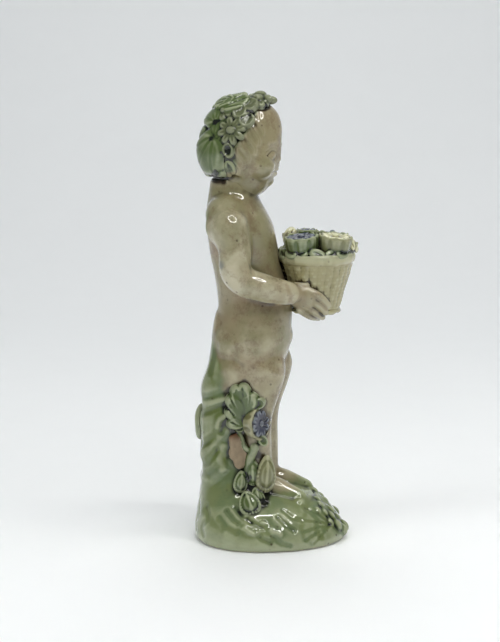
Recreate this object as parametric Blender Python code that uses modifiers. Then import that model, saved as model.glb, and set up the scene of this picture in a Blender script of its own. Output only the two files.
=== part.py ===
"""Glazed pottery cherub with a basket of flowers, pressed and fired in one piece.

The child stands on a grassy mound against a tree stump and looks along +X, with
its right side at -Y and the floor at z = 0. The clay is built as a potter builds it:
the big masses are joined and smoothed by hand, then the sprigs, fingers, petals and
wickerwork are pressed on, and the whole is fused, thinned to a light mesh and cut
flat underneath. Sizes are in metres; the section tables are in millimetres.
"""

import math

import bmesh
import bpy
import numpy as np
from mathutils import Euler, Matrix, Vector
from mathutils.bvhtree import BVHTree

MM = 0.001

# Mound and stump
BASE_LENGTH = 0.0433
BASE_WIDTH = 0.0400
MOUND_HEIGHT = 0.0126
STUMP_HEIGHT = 0.0650

# Child, from the soles up
LEG_LENGTH = 0.0414
LEG_SPACING = 0.0101
STRIDE = 0.0020
TORSO_LENGTH = 0.0430
NECK_TO_HEAD = 0.0156
HEAD_DEPTH = 0.0206
HEAD_WIDTH = 0.0198
HEAD_HEIGHT = 0.0218
HEAD_TURN_DEG = -9.0
SHOULDER_SPREAD = 0.0210
ARM_RADIUS = 0.0044
WRIST_RADIUS = 0.0034
FINGER_RADIUS = 0.00120

# Basket
BASKET_REACH = 0.0126
BASKET_ABOVE_HIP = 0.0104
BASKET_HEIGHT = 0.0171
BASKET_RIM_RADIUS = 0.0109
BASKET_FOOT_RADIUS = 0.0062
COLLAR_HEIGHT = 0.0029
COLLAR_STEP = 0.0007
STAVE_RADIUS = 0.00042
STAVES = 26
BLOOM_RADIUS = 0.0048
BLOOM_HEIGHT = 0.0058

# Sprigs
PETAL_THICKNESS = 0.0012
LEAF_THICKNESS = 0.0014
SPRIG_BLOOM_RADIUS = 0.0048

# Clay work
BLEND_GRAIN = 0.00055
BLEND_PASSES = 16
FUSE_GRAIN = 0.00034
FACET_SHARE = 0.0300
FLOOR_CUT_DEPTH = 0.006

MOUND_POWER = 2.15
MOUND_EGG = 0.10
STUMP_POWER = 2.4
HIP = Vector((-0.0050, 0.0, MOUND_HEIGHT + LEG_LENGTH))
NECK = Vector((-0.0105, 0.0, HIP.z + TORSO_LENGTH))
HEAD = Vector((-0.0075, 0.0, NECK.z + NECK_TO_HEAD))
HAIR = HEAD + Vector((-0.0008, 0.0, -0.0022))
HAIR_SIZE = (HEAD_DEPTH / 2 + 0.0009, HEAD_WIDTH / 2 + 0.0002, HEAD_HEIGHT / 2 + 0.0012)
BASKET = Vector((BASKET_REACH, 0.0, HIP.z + BASKET_ABOVE_HIP))
SIDES = (-1, 1)
FEET = ((-1, 0.0), (1, STRIDE))

TORSO_SECTIONS = (
    # share of the torso's length, back, front and half width
    (-0.10, -14.0, 3.4, 9.6),
    (-0.02, -15.2, 4.9, 10.8),
    (0.05, -15.8, 5.6, 11.2),
    (0.14, -15.5, 5.8, 11.0),
    (0.25, -15.0, 6.1, 10.5),
    (0.35, -15.0, 5.8, 10.1),
    (0.47, -15.8, 4.2, 9.9),
    (0.58, -16.8, 2.8, 10.2),
    (0.70, -17.6, 1.7, 11.0),
    (0.81, -18.3, 0.7, 11.8),
    (0.90, -18.2, -1.2, 10.6),
    (0.97, -17.8, -3.0, 8.4),
    (1.04, -17.3, -3.9, 7.0),
    (1.12, -16.8, -4.2, 6.6),
)

LEG_SECTIONS = (
    # share of the leg's length, back, front and half width, about the leg's own axis
    (0.00, -9.0, 2.0, 4.4),
    (0.10, -8.0, 0.6, 3.5),
    (0.22, -7.9, 0.3, 3.5),
    (0.36, -8.6, 0.2, 4.2),
    (0.52, -8.8, 0.2, 4.4),
    (0.64, -8.9, 1.4, 4.9),
    (0.78, -9.8, 3.4, 5.6),
    (0.90, -10.8, 4.2, 5.9),
    (1.02, -11.4, 2.4, 5.2),
    (1.14, -10.5, 0.0, 3.6),
)

MOUND_SECTIONS = (
    # share of the mound's height, then shares of the half length behind and ahead, and of the half width
    (-0.20, 0.975, 0.970, 0.965),
    (0.00, 0.990, 0.985, 0.985),
    (0.12, 1.000, 1.000, 1.000),
    (0.30, 0.998, 0.960, 0.985),
    (0.50, 0.985, 0.880, 0.935),
    (0.70, 0.965, 0.790, 0.850),
    (0.86, 0.950, 0.680, 0.740),
    (1.00, 0.935, 0.520, 0.600),
    (1.14, 0.925, 0.250, 0.500),
)

STUMP_SECTIONS = (
    # share of the stump's height, back, front and half width
    (0.10, -21.0, -3.0, 12.6),
    (0.20, -20.3, -4.4, 10.8),
    (0.29, -19.7, -4.8, 9.8),
    (0.36, -20.4, -4.6, 9.4),
    (0.43, -20.2, -4.6, 9.0),
    (0.53, -20.5, -4.8, 9.2),
    (0.585, -19.6, -5.0, 9.0),
    (0.64, -20.1, -5.4, 9.0),
    (0.69, -19.8, -6.4, 8.8),
    (0.76, -18.1, -8.4, 8.6),
    (0.82, -17.3, -10.4, 8.2),
    (0.89, -16.7, -11.8, 7.2),
    (0.95, -16.1, -13.0, 5.2),
    (1.00, -15.4, -13.8, 2.4),
)


def clear_scene():
    """Leaves nothing of an earlier build in the file."""
    for old in list(bpy.data.objects):
        bpy.data.objects.remove(old)


def collection(name):
    """A new collection in the scene."""
    made = bpy.data.collections.new(name)
    bpy.context.scene.collection.children.link(made)
    return made


def mm(x, y, z):
    """A point or step given in millimetres."""
    return Vector((x, y, z)) * MM


def glaze(name, colour, roughness):
    """A glossy lead glaze of one colour."""
    material = bpy.data.materials.new(name)
    material.use_nodes = True
    shader = material.node_tree.nodes["Principled BSDF"]
    shader.inputs["Base Color"].default_value = (*colour, 1.0)
    shader.inputs["Roughness"].default_value = roughness
    shader.inputs["Metallic"].default_value = 0.0
    return material


def evaluated_mesh(obj):
    """The mesh that an object's curves or modifiers make."""
    graph = bpy.context.evaluated_depsgraph_get()
    return bpy.data.meshes.new_from_object(obj.evaluated_get(graph))


def eased(levels, steps=3):
    """The same stack of sections with soft steps between them (Catmull-Rom)."""
    out = []
    rows = [levels[0], *levels, levels[-1]]
    for a, b, c, d in zip(rows, rows[1:], rows[2:], rows[3:]):
        for step in range(steps):
            t = step / steps
            weights = (
                (-t + 2 * t**2 - t**3) / 2,
                (2 - 5 * t**2 + 3 * t**3) / 2,
                (t + 4 * t**2 - 3 * t**3) / 2,
                (-(t**2) + t**3) / 2,
            )
            out.append([sum(w * row[k] for w, row in zip(weights, (a, b, c, d))) for k in range(len(b))])
    out.append(list(levels[-1]))
    return out


def skin(clay, rings):
    """A closed skin over a row of rings with equally many points, capped at both ends."""
    rows = [[clay.verts.new(point) for point in ring] for ring in rings]
    count = len(rows[0])
    for low, high in zip(rows, rows[1:]):
        for i in range(count):
            j = (i + 1) % count
            clay.faces.new((low[i], low[j], high[j], high[i]))
    clay.faces.new(reversed(rows[0]))
    clay.faces.new(rows[-1])


def tower(clay, levels, power=2.0, egg=0.0, count=28):
    """A stack of level sections. Each level is z, back, front, right and left; egg narrows its front."""
    rings = []
    for z, back, front, right, left in eased(levels):
        ring = []
        for i in range(count):
            angle = math.tau * i / count
            ahead = math.copysign(abs(math.cos(angle)) ** (2 / power), math.cos(angle))
            beside = math.copysign(abs(math.sin(angle)) ** (2 / power), math.sin(angle))
            x = (back + front) / 2 + ahead * (front - back) / 2
            y = (right + left) / 2 + beside * (1 - egg * ahead) * (left - right) / 2
            ring.append((x, y, z))
        rings.append(ring)
    skin(clay, rings)


def lump(clay, matrix, segments, rings):
    """A unit ball placed and squashed by a matrix, rolled apart from the rest to keep it quick."""
    small = bmesh.new()
    bmesh.ops.create_uvsphere(small, u_segments=segments, v_segments=rings, radius=1.0, matrix=matrix)
    mesh = bpy.data.meshes.new("lump")
    small.to_mesh(mesh)
    small.free()
    clay.from_mesh(mesh)
    bpy.data.meshes.remove(mesh)


def ball(clay, centre, radii, turn=(0.0, 0.0, 0.0), segments=16):
    """An egg-shaped lump, turned by degrees about x, y and z."""
    angles = Euler([math.radians(a) for a in turn])
    lump(clay, Matrix.LocRotScale(Vector(centre), angles, Vector(radii)), segments, segments // 2)


def facing(normal, along):
    """A turn that takes x to along and z to normal."""
    z = Vector(normal).normalized()
    x = Vector(along)
    x = (x - z * x.dot(z)).normalized()
    return Matrix((x, z.cross(x), z)).transposed()


def pad(clay, centre, along, normal, length, width, thickness, segments=12):
    """A flattened lump that lies along one direction and faces another: a petal, toe or leaf lobe."""
    scale = Matrix.Diagonal((length / 2, width / 2, thickness / 2, 1.0))
    place = Matrix.Translation(centre) @ facing(normal, along).to_4x4()
    lump(clay, place @ scale, segments, segments // 2 + 2)


def coils(clay, rolls):
    """Rolls of clay. Each is a list of (point, radius) that a smooth line runs through, with round ends."""
    data = bpy.data.curves.new("coil", "CURVE")
    data.dimensions = "3D"
    data.bevel_depth = 1.0
    data.bevel_resolution = 3
    data.resolution_u = 5
    data.use_fill_caps = True
    for roll in rolls:
        spline = data.splines.new("BEZIER")
        spline.bezier_points.add(len(roll) - 1)
        for knot, (point, radius) in zip(spline.bezier_points, roll):
            knot.co = point
            knot.radius = radius
            knot.handle_left_type = knot.handle_right_type = "AUTO"
        for point, radius in (roll[0], roll[-1]):
            ball(clay, point, (radius, radius, radius), segments=10)
    obj = bpy.data.objects.new("coil", data)
    bpy.context.scene.collection.objects.link(obj)
    mesh = evaluated_mesh(obj)
    piece = bmesh.new()
    piece.from_mesh(mesh)
    bmesh.ops.remove_doubles(piece, verts=piece.verts, dist=0.00001)
    piece.to_mesh(mesh)
    piece.free()
    clay.from_mesh(mesh)
    bpy.data.objects.remove(obj)


def turned(clay, profile, place, steps=40):
    """A shape turned on the wheel about its own z axis. The profile runs from top to bottom."""
    mesh = bpy.data.meshes.new("turned")
    points = [(radius, 0.0, z) for radius, z in profile]
    mesh.from_pydata(points, [(i, i + 1) for i in range(len(points) - 1)], [])
    obj = bpy.data.objects.new("turned", mesh)
    bpy.context.scene.collection.objects.link(obj)
    screw = obj.modifiers.new("wheel", "SCREW")
    screw.steps = screw.render_steps = steps
    screw.use_merge_vertices = True
    screw.merge_threshold = 0.00001
    piece = evaluated_mesh(obj)
    piece.transform(place)
    clay.from_mesh(piece)
    bpy.data.objects.remove(obj)


def press(mesh, centre, radius, depth, direction):
    """Pushes the skin with a thumb of that radius: deepest at the centre, nothing at the rim."""
    points = np.empty(len(mesh.vertices) * 3, np.float32)
    mesh.vertices.foreach_get("co", points)
    points = points.reshape(-1, 3)
    away = np.linalg.norm((points - np.array(centre)) / np.array(radius), axis=1)
    strength = np.clip(1 - away**2, 0, 1) ** 2
    points += strength[:, None] * depth * np.array(Vector(direction).normalized())
    mesh.vertices.foreach_set("co", points.ravel())


def mound_levels():
    """The mound's sections in metres."""
    length = BASE_LENGTH / 2
    width = BASE_WIDTH / 2
    return [
        (share * MOUND_HEIGHT, -back * length, front * length, -wide * width, wide * width)
        for share, back, front, wide in MOUND_SECTIONS
    ]


def stump_levels():
    """The stump's sections in metres."""
    return [
        (share * STUMP_HEIGHT, back * MM, front * MM, -wide * MM, wide * MM)
        for share, back, front, wide in STUMP_SECTIONS
    ]


def mound(clay):
    """The grassy base: blunt behind, narrowing ahead."""
    tower(clay, mound_levels(), MOUND_POWER, MOUND_EGG, count=36)


def stump(clay):
    """The tree stump that props the child up from behind and fills the space between its legs."""
    tower(clay, stump_levels(), STUMP_POWER)


def torso(clay):
    """Chest, round belly and hips."""
    levels = [
        (HIP.z + share * TORSO_LENGTH, back * MM, front * MM, -wide * MM, wide * MM)
        for share, back, front, wide in TORSO_SECTIONS
    ]
    tower(clay, levels, power=2.15)
    for side in SIDES:
        ball(clay, HIP + mm(-5.6, side * 5.0, 2.6), mm(5.6, 5.6, 6.2))
        ball(clay, NECK + mm(-1.6, side * 9.2, -7.6), mm(6.2, 4.6, 6.2), turn=(side * 18, 0, 0))
        ball(clay, NECK + mm(-2.0, side * 6.4, -4.8), mm(5.8, 6.4, 5.8))
    ball(clay, HIP + mm(8.5, 0.0, 3.2), mm(3.5, 3.6, 3.4))


def leg(clay, side, step_ahead):
    """One plump leg with its foot set flat on the mound."""
    middle = side * LEG_SPACING / 2
    levels = [
        (
            MOUND_HEIGHT + share * LEG_LENGTH,
            back * MM + step_ahead,
            front * MM + step_ahead,
            middle - wide * MM,
            middle + wide * MM,
        )
        for share, back, front, wide in LEG_SECTIONS
    ]
    tower(clay, levels, power=2.0, count=20)
    sole = Vector((step_ahead, middle, MOUND_HEIGHT))
    coils(
        clay,
        [
            [
                (sole + mm(-5.0, 0.0, 2.4), 3.4 * MM),
                (sole + mm(0.6, side * 0.3, 2.6), 3.3 * MM),
                (sole + mm(5.0, side * 0.8, 1.0), 2.8 * MM),
                (sole + mm(8.2, side * 1.2, 0.0), 2.2 * MM),
            ]
        ],
    )


def arm_line(side):
    """The points and radii of one arm, from the shoulder to the wrist at the basket."""
    shoulder = NECK + Vector((-0.0012, side * SHOULDER_SPREAD / 2, -0.0078))
    elbow = NECK + Vector((0.0012, side * (SHOULDER_SPREAD / 2 + 0.0027), -0.0205))
    wrist = BASKET + Vector((-0.0080, side * (BASKET_FOOT_RADIUS + 0.0044), 0.0068))
    return [
        (shoulder, ARM_RADIUS * 1.30),
        (shoulder.lerp(elbow, 0.45) + mm(0.6, side * 0.5, 0.0), ARM_RADIUS * 1.06),
        (elbow, ARM_RADIUS),
        (elbow.lerp(wrist, 0.50) + mm(0.0, side * 0.6, -0.9), ARM_RADIUS * 0.93),
        (wrist, WRIST_RADIUS),
    ]


def palm(clay, side):
    """The back of the hand, laid against the lower basket."""
    outward = BASKET_FOOT_RADIUS + 0.0020
    ball(
        clay,
        BASKET + Vector((-0.0042, side * outward, 0.0052)),
        mm(4.6, 2.0, 3.7),
        turn=(side * -16, 14, side * 8),
    )


def fingers(side):
    """Four fingers round the basket's lower wall and under its foot, then the thumb up its side."""
    knuckles = (
        # along x, outward past the foot, up from the foot; for the knuckle, the middle joint and the tip
        ((-3.0, 2.6, 7.4), (0.4, 2.6, 5.7), (3.0, 1.1, 3.0)),
        ((-3.4, 2.5, 5.4), (0.0, 2.0, 3.4), (2.4, 0.4, 0.9)),
        ((-4.0, 2.0, 3.4), (-0.8, 1.0, 1.2), (1.6, -1.2, -0.7)),
        ((-4.6, 1.4, 1.8), (-1.6, -0.4, -0.2), (0.6, -3.2, -1.2)),
    )
    rolls = []
    for knuckle in knuckles:
        roll = []
        for (x, out, z), thick in zip(knuckle, (1.12, 1.0, 0.92)):
            beside = side * (BASKET_FOOT_RADIUS + out * MM)
            roll.append((BASKET + Vector((x * MM, beside, z * MM)), FINGER_RADIUS * thick))
        rolls.append(roll)
    thumb = [
        (BASKET + Vector((-0.0058, side * (BASKET_FOOT_RADIUS + 0.0022), 0.0082)), FINGER_RADIUS * 1.2),
        (BASKET + Vector((-0.0030, side * (BASKET_FOOT_RADIUS + 0.0024), 0.0086)), FINGER_RADIUS),
    ]
    return [*rolls, thumb]


def toes(clay, side, step_ahead):
    """Five toes along the front of a foot."""
    sole = Vector((step_ahead, side * LEG_SPACING / 2, MOUND_HEIGHT))
    for toe in range(5):
        x = 10.2 - 0.55 * toe
        y = side * (-1.3 + 1.35 * toe)
        size = 1.25 if toe == 0 else 0.95
        ball(clay, sole + mm(x, y, -0.7), mm(1.6, size, size))


def in_face(x, y, z):
    """A point of the head in millimetres from its middle, turned with the face."""
    return HEAD + Matrix.Rotation(math.radians(HEAD_TURN_DEG), 3, "Z") @ mm(x, y, z)


def head(clay):
    """Skull, cheeks, jaw and the front of the neck."""
    ball(clay, HEAD, (HEAD_DEPTH / 2, HEAD_WIDTH / 2, HEAD_HEIGHT / 2), segments=24)
    ball(clay, HAIR, HAIR_SIZE, segments=24)
    ball(clay, in_face(2.2, 0.0, 2.4), mm(8.2, 8.2, 9.0), segments=24)
    ball(clay, in_face(3.2, 0.0, -6.6), mm(6.4, 7.4, 6.8), segments=20)
    ball(clay, in_face(0.8, 0.0, -11.0), mm(6.4, 7.0, 5.2), segments=20)
    ball(clay, in_face(6.2, 0.0, -10.4), mm(2.3, 2.6, 2.2))
    ball(clay, HEAD + mm(-3.4, 0.0, -11.6), mm(5.8, 6.4, 5.4))
    for side in SIDES:
        ball(clay, in_face(5.2, side * 4.6, -6.4), mm(4.1, 4.0, 4.4))
    profile = (
        # ahead of and above the middle of the head, and how broad the ridge of the face is there
        (6.6, 5.5, 3.0),
        (7.3, 0.0, 2.6),
        (7.7, -3.8, 2.0),
        (7.2, -6.4, 2.0),
        (6.7, -8.8, 2.0),
        (5.4, -11.4, 2.2),
    )
    coils(clay, [[(in_face(ahead, 0.0, above), broad * MM) for ahead, above, broad in profile]])


def face(clay):
    """A child's small nose, lips and large eyes."""
    coils(
        clay,
        [
            [
                (in_face(9.1, 0.0, -1.6), 0.9 * MM),
                (in_face(9.5, 0.0, -3.8), 1.0 * MM),
                (in_face(9.9, 0.0, -5.4), 1.2 * MM),
            ]
        ],
    )
    for side in SIDES:
        ball(clay, in_face(9.2, side * 1.2, -5.8), mm(1.1, 0.9, 0.8))
        ball(clay, in_face(7.7, side * 4.1, -4.0), mm(1.8, 2.2, 1.4))
    ball(clay, in_face(8.9, 0.0, -8.1), mm(1.1, 1.9, 0.62))
    ball(clay, in_face(8.4, 0.0, -9.4), mm(1.1, 1.6, 0.66))


def on_head(body, turn, rise, lift=0.0):
    """A point of the head: turn is degrees from straight ahead towards the left, rise is degrees up."""
    t, r = math.radians(turn), math.radians(rise)
    way = Vector((math.cos(t) * math.cos(r), math.sin(t) * math.cos(r), math.sin(r)))
    return touch(body, HAIR, -way, lift)


def rosette(clay, centre, normal, radius, petals, thickness, spin=0.0):
    """A flat flower of round petals about a small button."""
    frame = facing(normal, normal.orthogonal())
    for i in range(petals):
        angle = math.radians(spin) + math.tau * i / petals
        out = frame @ Vector((math.cos(angle), math.sin(angle), 0.10))
        width = 1.3 * radius * math.sin(math.pi / petals)
        pad(clay, centre + out * radius * 0.58, out, normal, radius * 0.92, width, thickness)
    ball(clay, centre + normal * thickness * 0.30, (radius * 0.30,) * 3, segments=10)


def wreath(clay, body):
    """Leaves and small flowers that cover the crown, the sides and the back of the head."""
    thick = LEAF_THICKNESS * 1.35
    for side in SIDES:

        def seat(turn, rise):
            return on_head(body, side * turn, rise, 0.0004)

        fan(clay, seat, (122, 18), ((176, 12), (170, -12), (160, -30), (138, -34), (114, -26)), 0.0056, thick)
        fan(clay, seat, (152, 30), ((128, 40), (150, 52), (174, 44), (176, 24)), 0.0050, thick)
        leaves = (
            # turn and rise on the head, turn and rise it points at, length, width
            (148, -6, 172, -22, 11.6, 8.6),
            (100, 68, 46, 70, 8.8, 6.2),
            (140, 62, 168, 56, 7.4, 6.0),
            (66, 60, 50, 64, 4.6, 3.8),
            (81, 41, 66, 46, 4.4, 3.8),
            (109, 0, 110, -20, 4.6, 3.4),
            (126, -36, 140, -50, 4.4, 4.6),
            (104, 48, 90, 60, 4.4, 3.4),
        )
        for turn, rise, toward, up, length, width in leaves:
            centre, normal = seat(turn, rise)
            aim, _ = seat(toward, up)
            pad(clay, centre, aim - centre, normal, length * MM, width * MM, thick)
        flowers = ((105, 27, 3.9, 6), (146, 8, 2.7, 5), (126, 54, 2.8, 5), (40, 66, 3.4, 6))
        for turn, rise, size, petals in flowers:
            centre, normal = on_head(body, side * turn, rise, 0.0008)
            rosette(clay, centre, normal, size * MM, petals, PETAL_THICKNESS * 1.1, spin=12)
    for turn, rise in ((180, 66), (180, 84), (20, 84)):
        centre, normal = on_head(body, turn, rise, 0.0005)
        pad(clay, centre, mm(-1, 0, 0), normal, 0.0062, 0.0066, thick * 1.2)
    crown, normal = touch(body, HEAD + Vector((0.0044, -0.0012, 0.0)), (0, 0, -1), 0.0008)
    rosette(clay, crown, normal, 0.0038, 7, PETAL_THICKNESS * 1.5)
    ball(clay, crown + mm(-0.4, 0.0, 0.7), mm(2.3, 2.5, 1.6))


def curls(clay, body):
    """Locks of hair at the temples and the nape, below the wreath."""
    rolls = []
    for side in SIDES:
        locks = ((66, 40, 24, 1.0), (76, 22, 26, 1.1), (88, 2, 24, 1.3), (104, -16, 18, 1.5))
        for turn, rise, drop, size in locks:
            start, _ = on_head(body, side * turn, rise, -0.0006)
            bend, _ = on_head(body, side * (turn + 5), rise - drop / 2, -0.0006)
            end, _ = on_head(body, side * (turn - 1), rise - drop, -0.0008)
            rolls.append([(start, size * MM), (bend, size * 1.15 * MM), (end, size * 0.8 * MM)])
    for turn in (-36, -12, 12, 36):
        start, _ = on_head(body, 180 + turn, -32, -0.0003)
        end, _ = on_head(body, 180 + turn, -44, -0.0002)
        rolls.append([(start, 1.7 * MM), (end, 1.3 * MM)])
    coils(clay, rolls)


def basket_wall_radius(height):
    """The wall's outer radius at a height above the foot."""
    top = BASKET_HEIGHT - COLLAR_HEIGHT
    return BASKET_FOOT_RADIUS + (BASKET_RIM_RADIUS - COLLAR_STEP - BASKET_FOOT_RADIUS) * height / top


def basket_body(clay):
    """The tapered basket with its plain collar, filled to just under the rim."""
    top = BASKET_HEIGHT
    rim = BASKET_RIM_RADIUS
    profile = (
        (0.0, top - 0.0006),
        (rim - 0.0014, top - 0.0006),
        (rim - 0.0007, top),
        (rim, top - 0.0007),
        (rim, top - COLLAR_HEIGHT + 0.0005),
        (rim - COLLAR_STEP, top - COLLAR_HEIGHT),
        (basket_wall_radius(0.0008), 0.0008),
        (BASKET_FOOT_RADIUS - 0.0006, 0.0),
        (0.0, 0.0),
    )
    turned(clay, profile, Matrix.Translation(BASKET))


def wickerwork(clay):
    """The basket, with upright staves round its wall between the collar and a rolled foot."""
    basket_body(clay)
    rolls = []
    for i in range(STAVES):
        angle = math.tau * i / STAVES
        way = Vector((math.cos(angle), math.sin(angle), 0.0))
        rolls.append(
            [
                (BASKET + way * basket_wall_radius(height) + Vector((0, 0, height)), STAVE_RADIUS)
                for height in (0.0010, BASKET_HEIGHT - COLLAR_HEIGHT)
            ]
        )
    hoop = []
    for i in range(25):
        angle = math.tau * i / 24
        out = basket_wall_radius(0.0006)
        hoop.append((BASKET + Vector((out * math.cos(angle), out * math.sin(angle), 0.0006)), 0.00075))
    coils(clay, [*rolls, hoop])


def cup_bloom(clay, centre, axis, radius, height, petals=8):
    """A cup-shaped flower head whose hollow face holds a ring of short petals and a button."""
    frame = facing(axis, axis.orthogonal())
    profile = (
        (0.0, height * 0.84),
        (radius * 0.76, height * 0.84),
        (radius * 0.92, height),
        (radius, height * 0.90),
        (radius * 0.99, height * 0.72),
        (radius * 0.88, height * 0.24),
        (radius * 0.76, 0.0),
        (0.0, 0.0),
    )
    turned(clay, profile, Matrix.Translation(centre) @ frame.to_4x4(), steps=24)
    up = frame @ Vector((0, 0, 1))
    for i in range(petals):
        angle = math.tau * i / petals
        out = frame @ Vector((math.cos(angle), math.sin(angle), 0.0))
        middle = centre + up * height * 0.90 + out * radius * 0.46
        pad(clay, middle, out, up, radius * 0.74, radius * 0.26, 0.0011, segments=8)
    ball(clay, centre + up * height * 0.90, (radius * 0.20,) * 3, segments=8)


def posy(clay):
    """Cup-shaped blooms packed inside the basket's rim, with leaves between them."""
    level = BASKET + Vector((0, 0, BASKET_HEIGHT - 0.0005))
    ring = BASKET_RIM_RADIUS - BLOOM_RADIUS
    for turn, size in ((-130, 1.0), (-40, 1.0), (46, 0.96), (134, 1.0)):
        way = Matrix.Rotation(math.radians(turn), 3, "Z") @ Vector((1, 0, 0))
        axis = (Vector((0, 0, 1)) + way * 0.14).normalized()
        cup_bloom(clay, level + way * ring, axis, BLOOM_RADIUS * size, BLOOM_HEIGHT)
    knob = level + mm(-2.6, 1.0, 1.9)
    cup_bloom(clay, knob, Vector((0, 0, 1)), BLOOM_RADIUS * 0.62, BLOOM_HEIGHT * 0.86, petals=6)
    drooping = level + Vector((BASKET_RIM_RADIUS - 0.0034, 0.0014, -0.0004))
    outward = Vector((0.35, 0.1, 1)).normalized()
    cup_bloom(clay, drooping, outward, BLOOM_RADIUS * 0.66, BLOOM_HEIGHT * 0.8, petals=6)
    for turn in range(-170, 190, 40):
        out = Matrix.Rotation(math.radians(turn), 3, "Z") @ Vector((1, 0, 0))
        centre = level + out * (BASKET_RIM_RADIUS - 0.0013) + Vector((0, 0, 0.0011))
        along = out.cross(Vector((0, 0, 1)))
        pad(clay, centre, along, out + Vector((0, 0, 1)), 0.0054, 0.0034, LEAF_THICKNESS)
    ball(clay, level, (BASKET_RIM_RADIUS * 0.84, BASKET_RIM_RADIUS * 0.84, 0.0022), segments=20)


def garland(clay, body):
    """The sprig of leaves, one blue bloom, buds and a scar down the right side, with a stub behind."""
    thick = LEAF_THICKNESS

    def seat(x, z, lift=0.4):
        return on_side(body, -1, x, z, lift * MM)

    fan(clay, seat, (-7.1, 37.1), ((-8.3, 45.6), (-10.5, 43.9), (-5.8, 44.2), (-11.6, 40.6)), 0.0034, thick)
    fan(clay, seat, (-8.6, 34.2), ((-11.7, 38.8), (-11.9, 35.4), (-9.6, 39.6)), 0.0028, thick)
    centre, normal = seat(-3.9, 40.0)
    pad(clay, centre, mm(1, 0, 0.3), normal, 0.0046, 0.0038, thick)
    cup, _ = seat(-5.4, 34.4, -0.8)
    cup_bloom(clay, cup, Vector((0.84, -0.54, 0.04)).normalized(), SPRIG_BLOOM_RADIUS, 0.0036)
    stem = [seat(-8.4, 33.7, 0.3)[0], seat(-7.0, 30.4, 0.7)[0], seat(-4.5, 28.2, 0.5)[0]]
    spray = [seat(-4.6, 28.0, 0.3)[0], seat(-5.6, 24.5, 0.8)[0], seat(-6.4, 20.5, 1.0)[0]]
    coils(clay, [[(p, 0.95 * MM) for p in stem], [(p, 1.3 * MM) for p in spray]])
    buds = (
        # along, above, lift, lean, length, width, thickness
        (-1.9, 20.2, 1.5, 0.06, 9.8, 4.8, 3.4),
        (-4.9, 20.4, 1.0, -0.06, 7.8, 4.6, 2.8),
        (-8.9, 18.2, 0.8, 0.10, 5.8, 4.0, 2.6),
        (-6.4, 13.2, 0.9, -0.34, 7.6, 5.2, 2.8),
        (-3.8, 13.8, 0.4, -0.20, 6.0, 4.0, 2.4),
    )
    for x, z, lift, lean, length, width, thickness in buds:
        centre, normal = seat(x, z, lift)
        flat = normal + Vector((0.10, -1.2, 0.10))
        pad(clay, centre, Vector((lean, 0.1, 1)), flat, length * MM, width * MM, thickness * MM)
    centre, normal = seat(-8.6, 27.0, -0.1)
    pad(clay, centre, mm(-0.26, 0, -1), normal, 0.0112, 0.0040, 0.0018)
    centre, normal = on_round(body, -13.0, 32.8, 172, 0.0)
    pad(clay, centre, mm(0.03, 0, 1), normal, 0.0108, 0.0046, 0.0024)


def far_sprig(clay, body):
    """A leaf, a flat flower and a bud on the stump's left side."""

    def seat(x, z):
        return on_side(body, 1, x, z, 0.0004)

    tips = ((-10.0, 42.0), (-12.6, 40.0), (-7.2, 41.0), (-13.4, 36.0))
    fan(clay, seat, (-8.8, 34.0), tips, 0.0036, LEAF_THICKNESS)
    centre, normal = seat(-8.4, 31.6)
    rosette(clay, centre + normal * 0.0004, normal, 0.0040, 6, PETAL_THICKNESS)
    centre, normal = seat(-8.8, 24.0)
    pad(clay, centre, mm(0.1, 0.0, 1), normal, 0.0090, 0.0046, 0.0026)


def bark_folds(clay, body):
    """Low ridges that run down the stump."""
    ridges = (
        # height and degrees round the stump for three points, then the ridge's thickness
        ((54, -112), (48, -122), (42, -132), 1.3),
        ((45, -160), (42.5, -124), (41, -96), 1.0),
        ((37, -164), (35, -128), (36.5, -100), 1.0),
        ((30, -160), (24, -136), (16, -124), 1.2),
        ((52, 112), (40, 128), (28, 118), 1.3),
        ((52, 176), (42, 184), (26, 172), 1.2),
    )
    rolls = []
    for *points, size in ridges:
        spots = [on_round(body, -13.0, height, turn, size * -0.5 * MM)[0] for height, turn in points]
        rolls.append([(spot, size * MM) for spot in spots])
    coils(clay, rolls)


def rocks(clay, body):
    """Tufts and stones pressed onto the front of the mound."""
    for height, turn, size in (
        (9.6, -20, 1.7),
        (7.8, -14, 1.6),
        (8.4, -36, 1.6),
        (5.0, -24, 1.8),
        (10.0, 24, 1.8),
        (5.6, 18, 1.9),
        (6.4, 52, 1.9),
        (3.2, -10, 1.9),
    ):
        spot, _ = on_round(body, 0.0, height, turn, -0.0016)
        ball(clay, spot, mm(size * 1.25, size, size * 0.9), turn=(0, 36, turn))


def soft_masses():
    """The body, stump and mound, joined and smoothed until no seam shows, with the hollows thumbed in."""
    clay = bmesh.new()
    mound(clay)
    stump(clay)
    torso(clay)
    head(clay)
    for side, step_ahead in FEET:
        leg(clay, side, step_ahead)
        coils(clay, [arm_line(side)])
        palm(clay, side)
    mesh = bpy.data.meshes.new("soft_masses")
    clay.to_mesh(mesh)
    clay.free()
    obj = bpy.data.objects.new("soft_masses", mesh)
    bpy.context.scene.collection.objects.link(obj)
    blend = obj.modifiers.new("blend", "REMESH")
    blend.mode = "VOXEL"
    blend.voxel_size = BLEND_GRAIN
    rub = obj.modifiers.new("rub", "SMOOTH")
    rub.factor = 0.5
    rub.iterations = BLEND_PASSES
    fused = evaluated_mesh(obj)
    bpy.data.objects.remove(obj)
    hollows(fused)
    return fused


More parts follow.
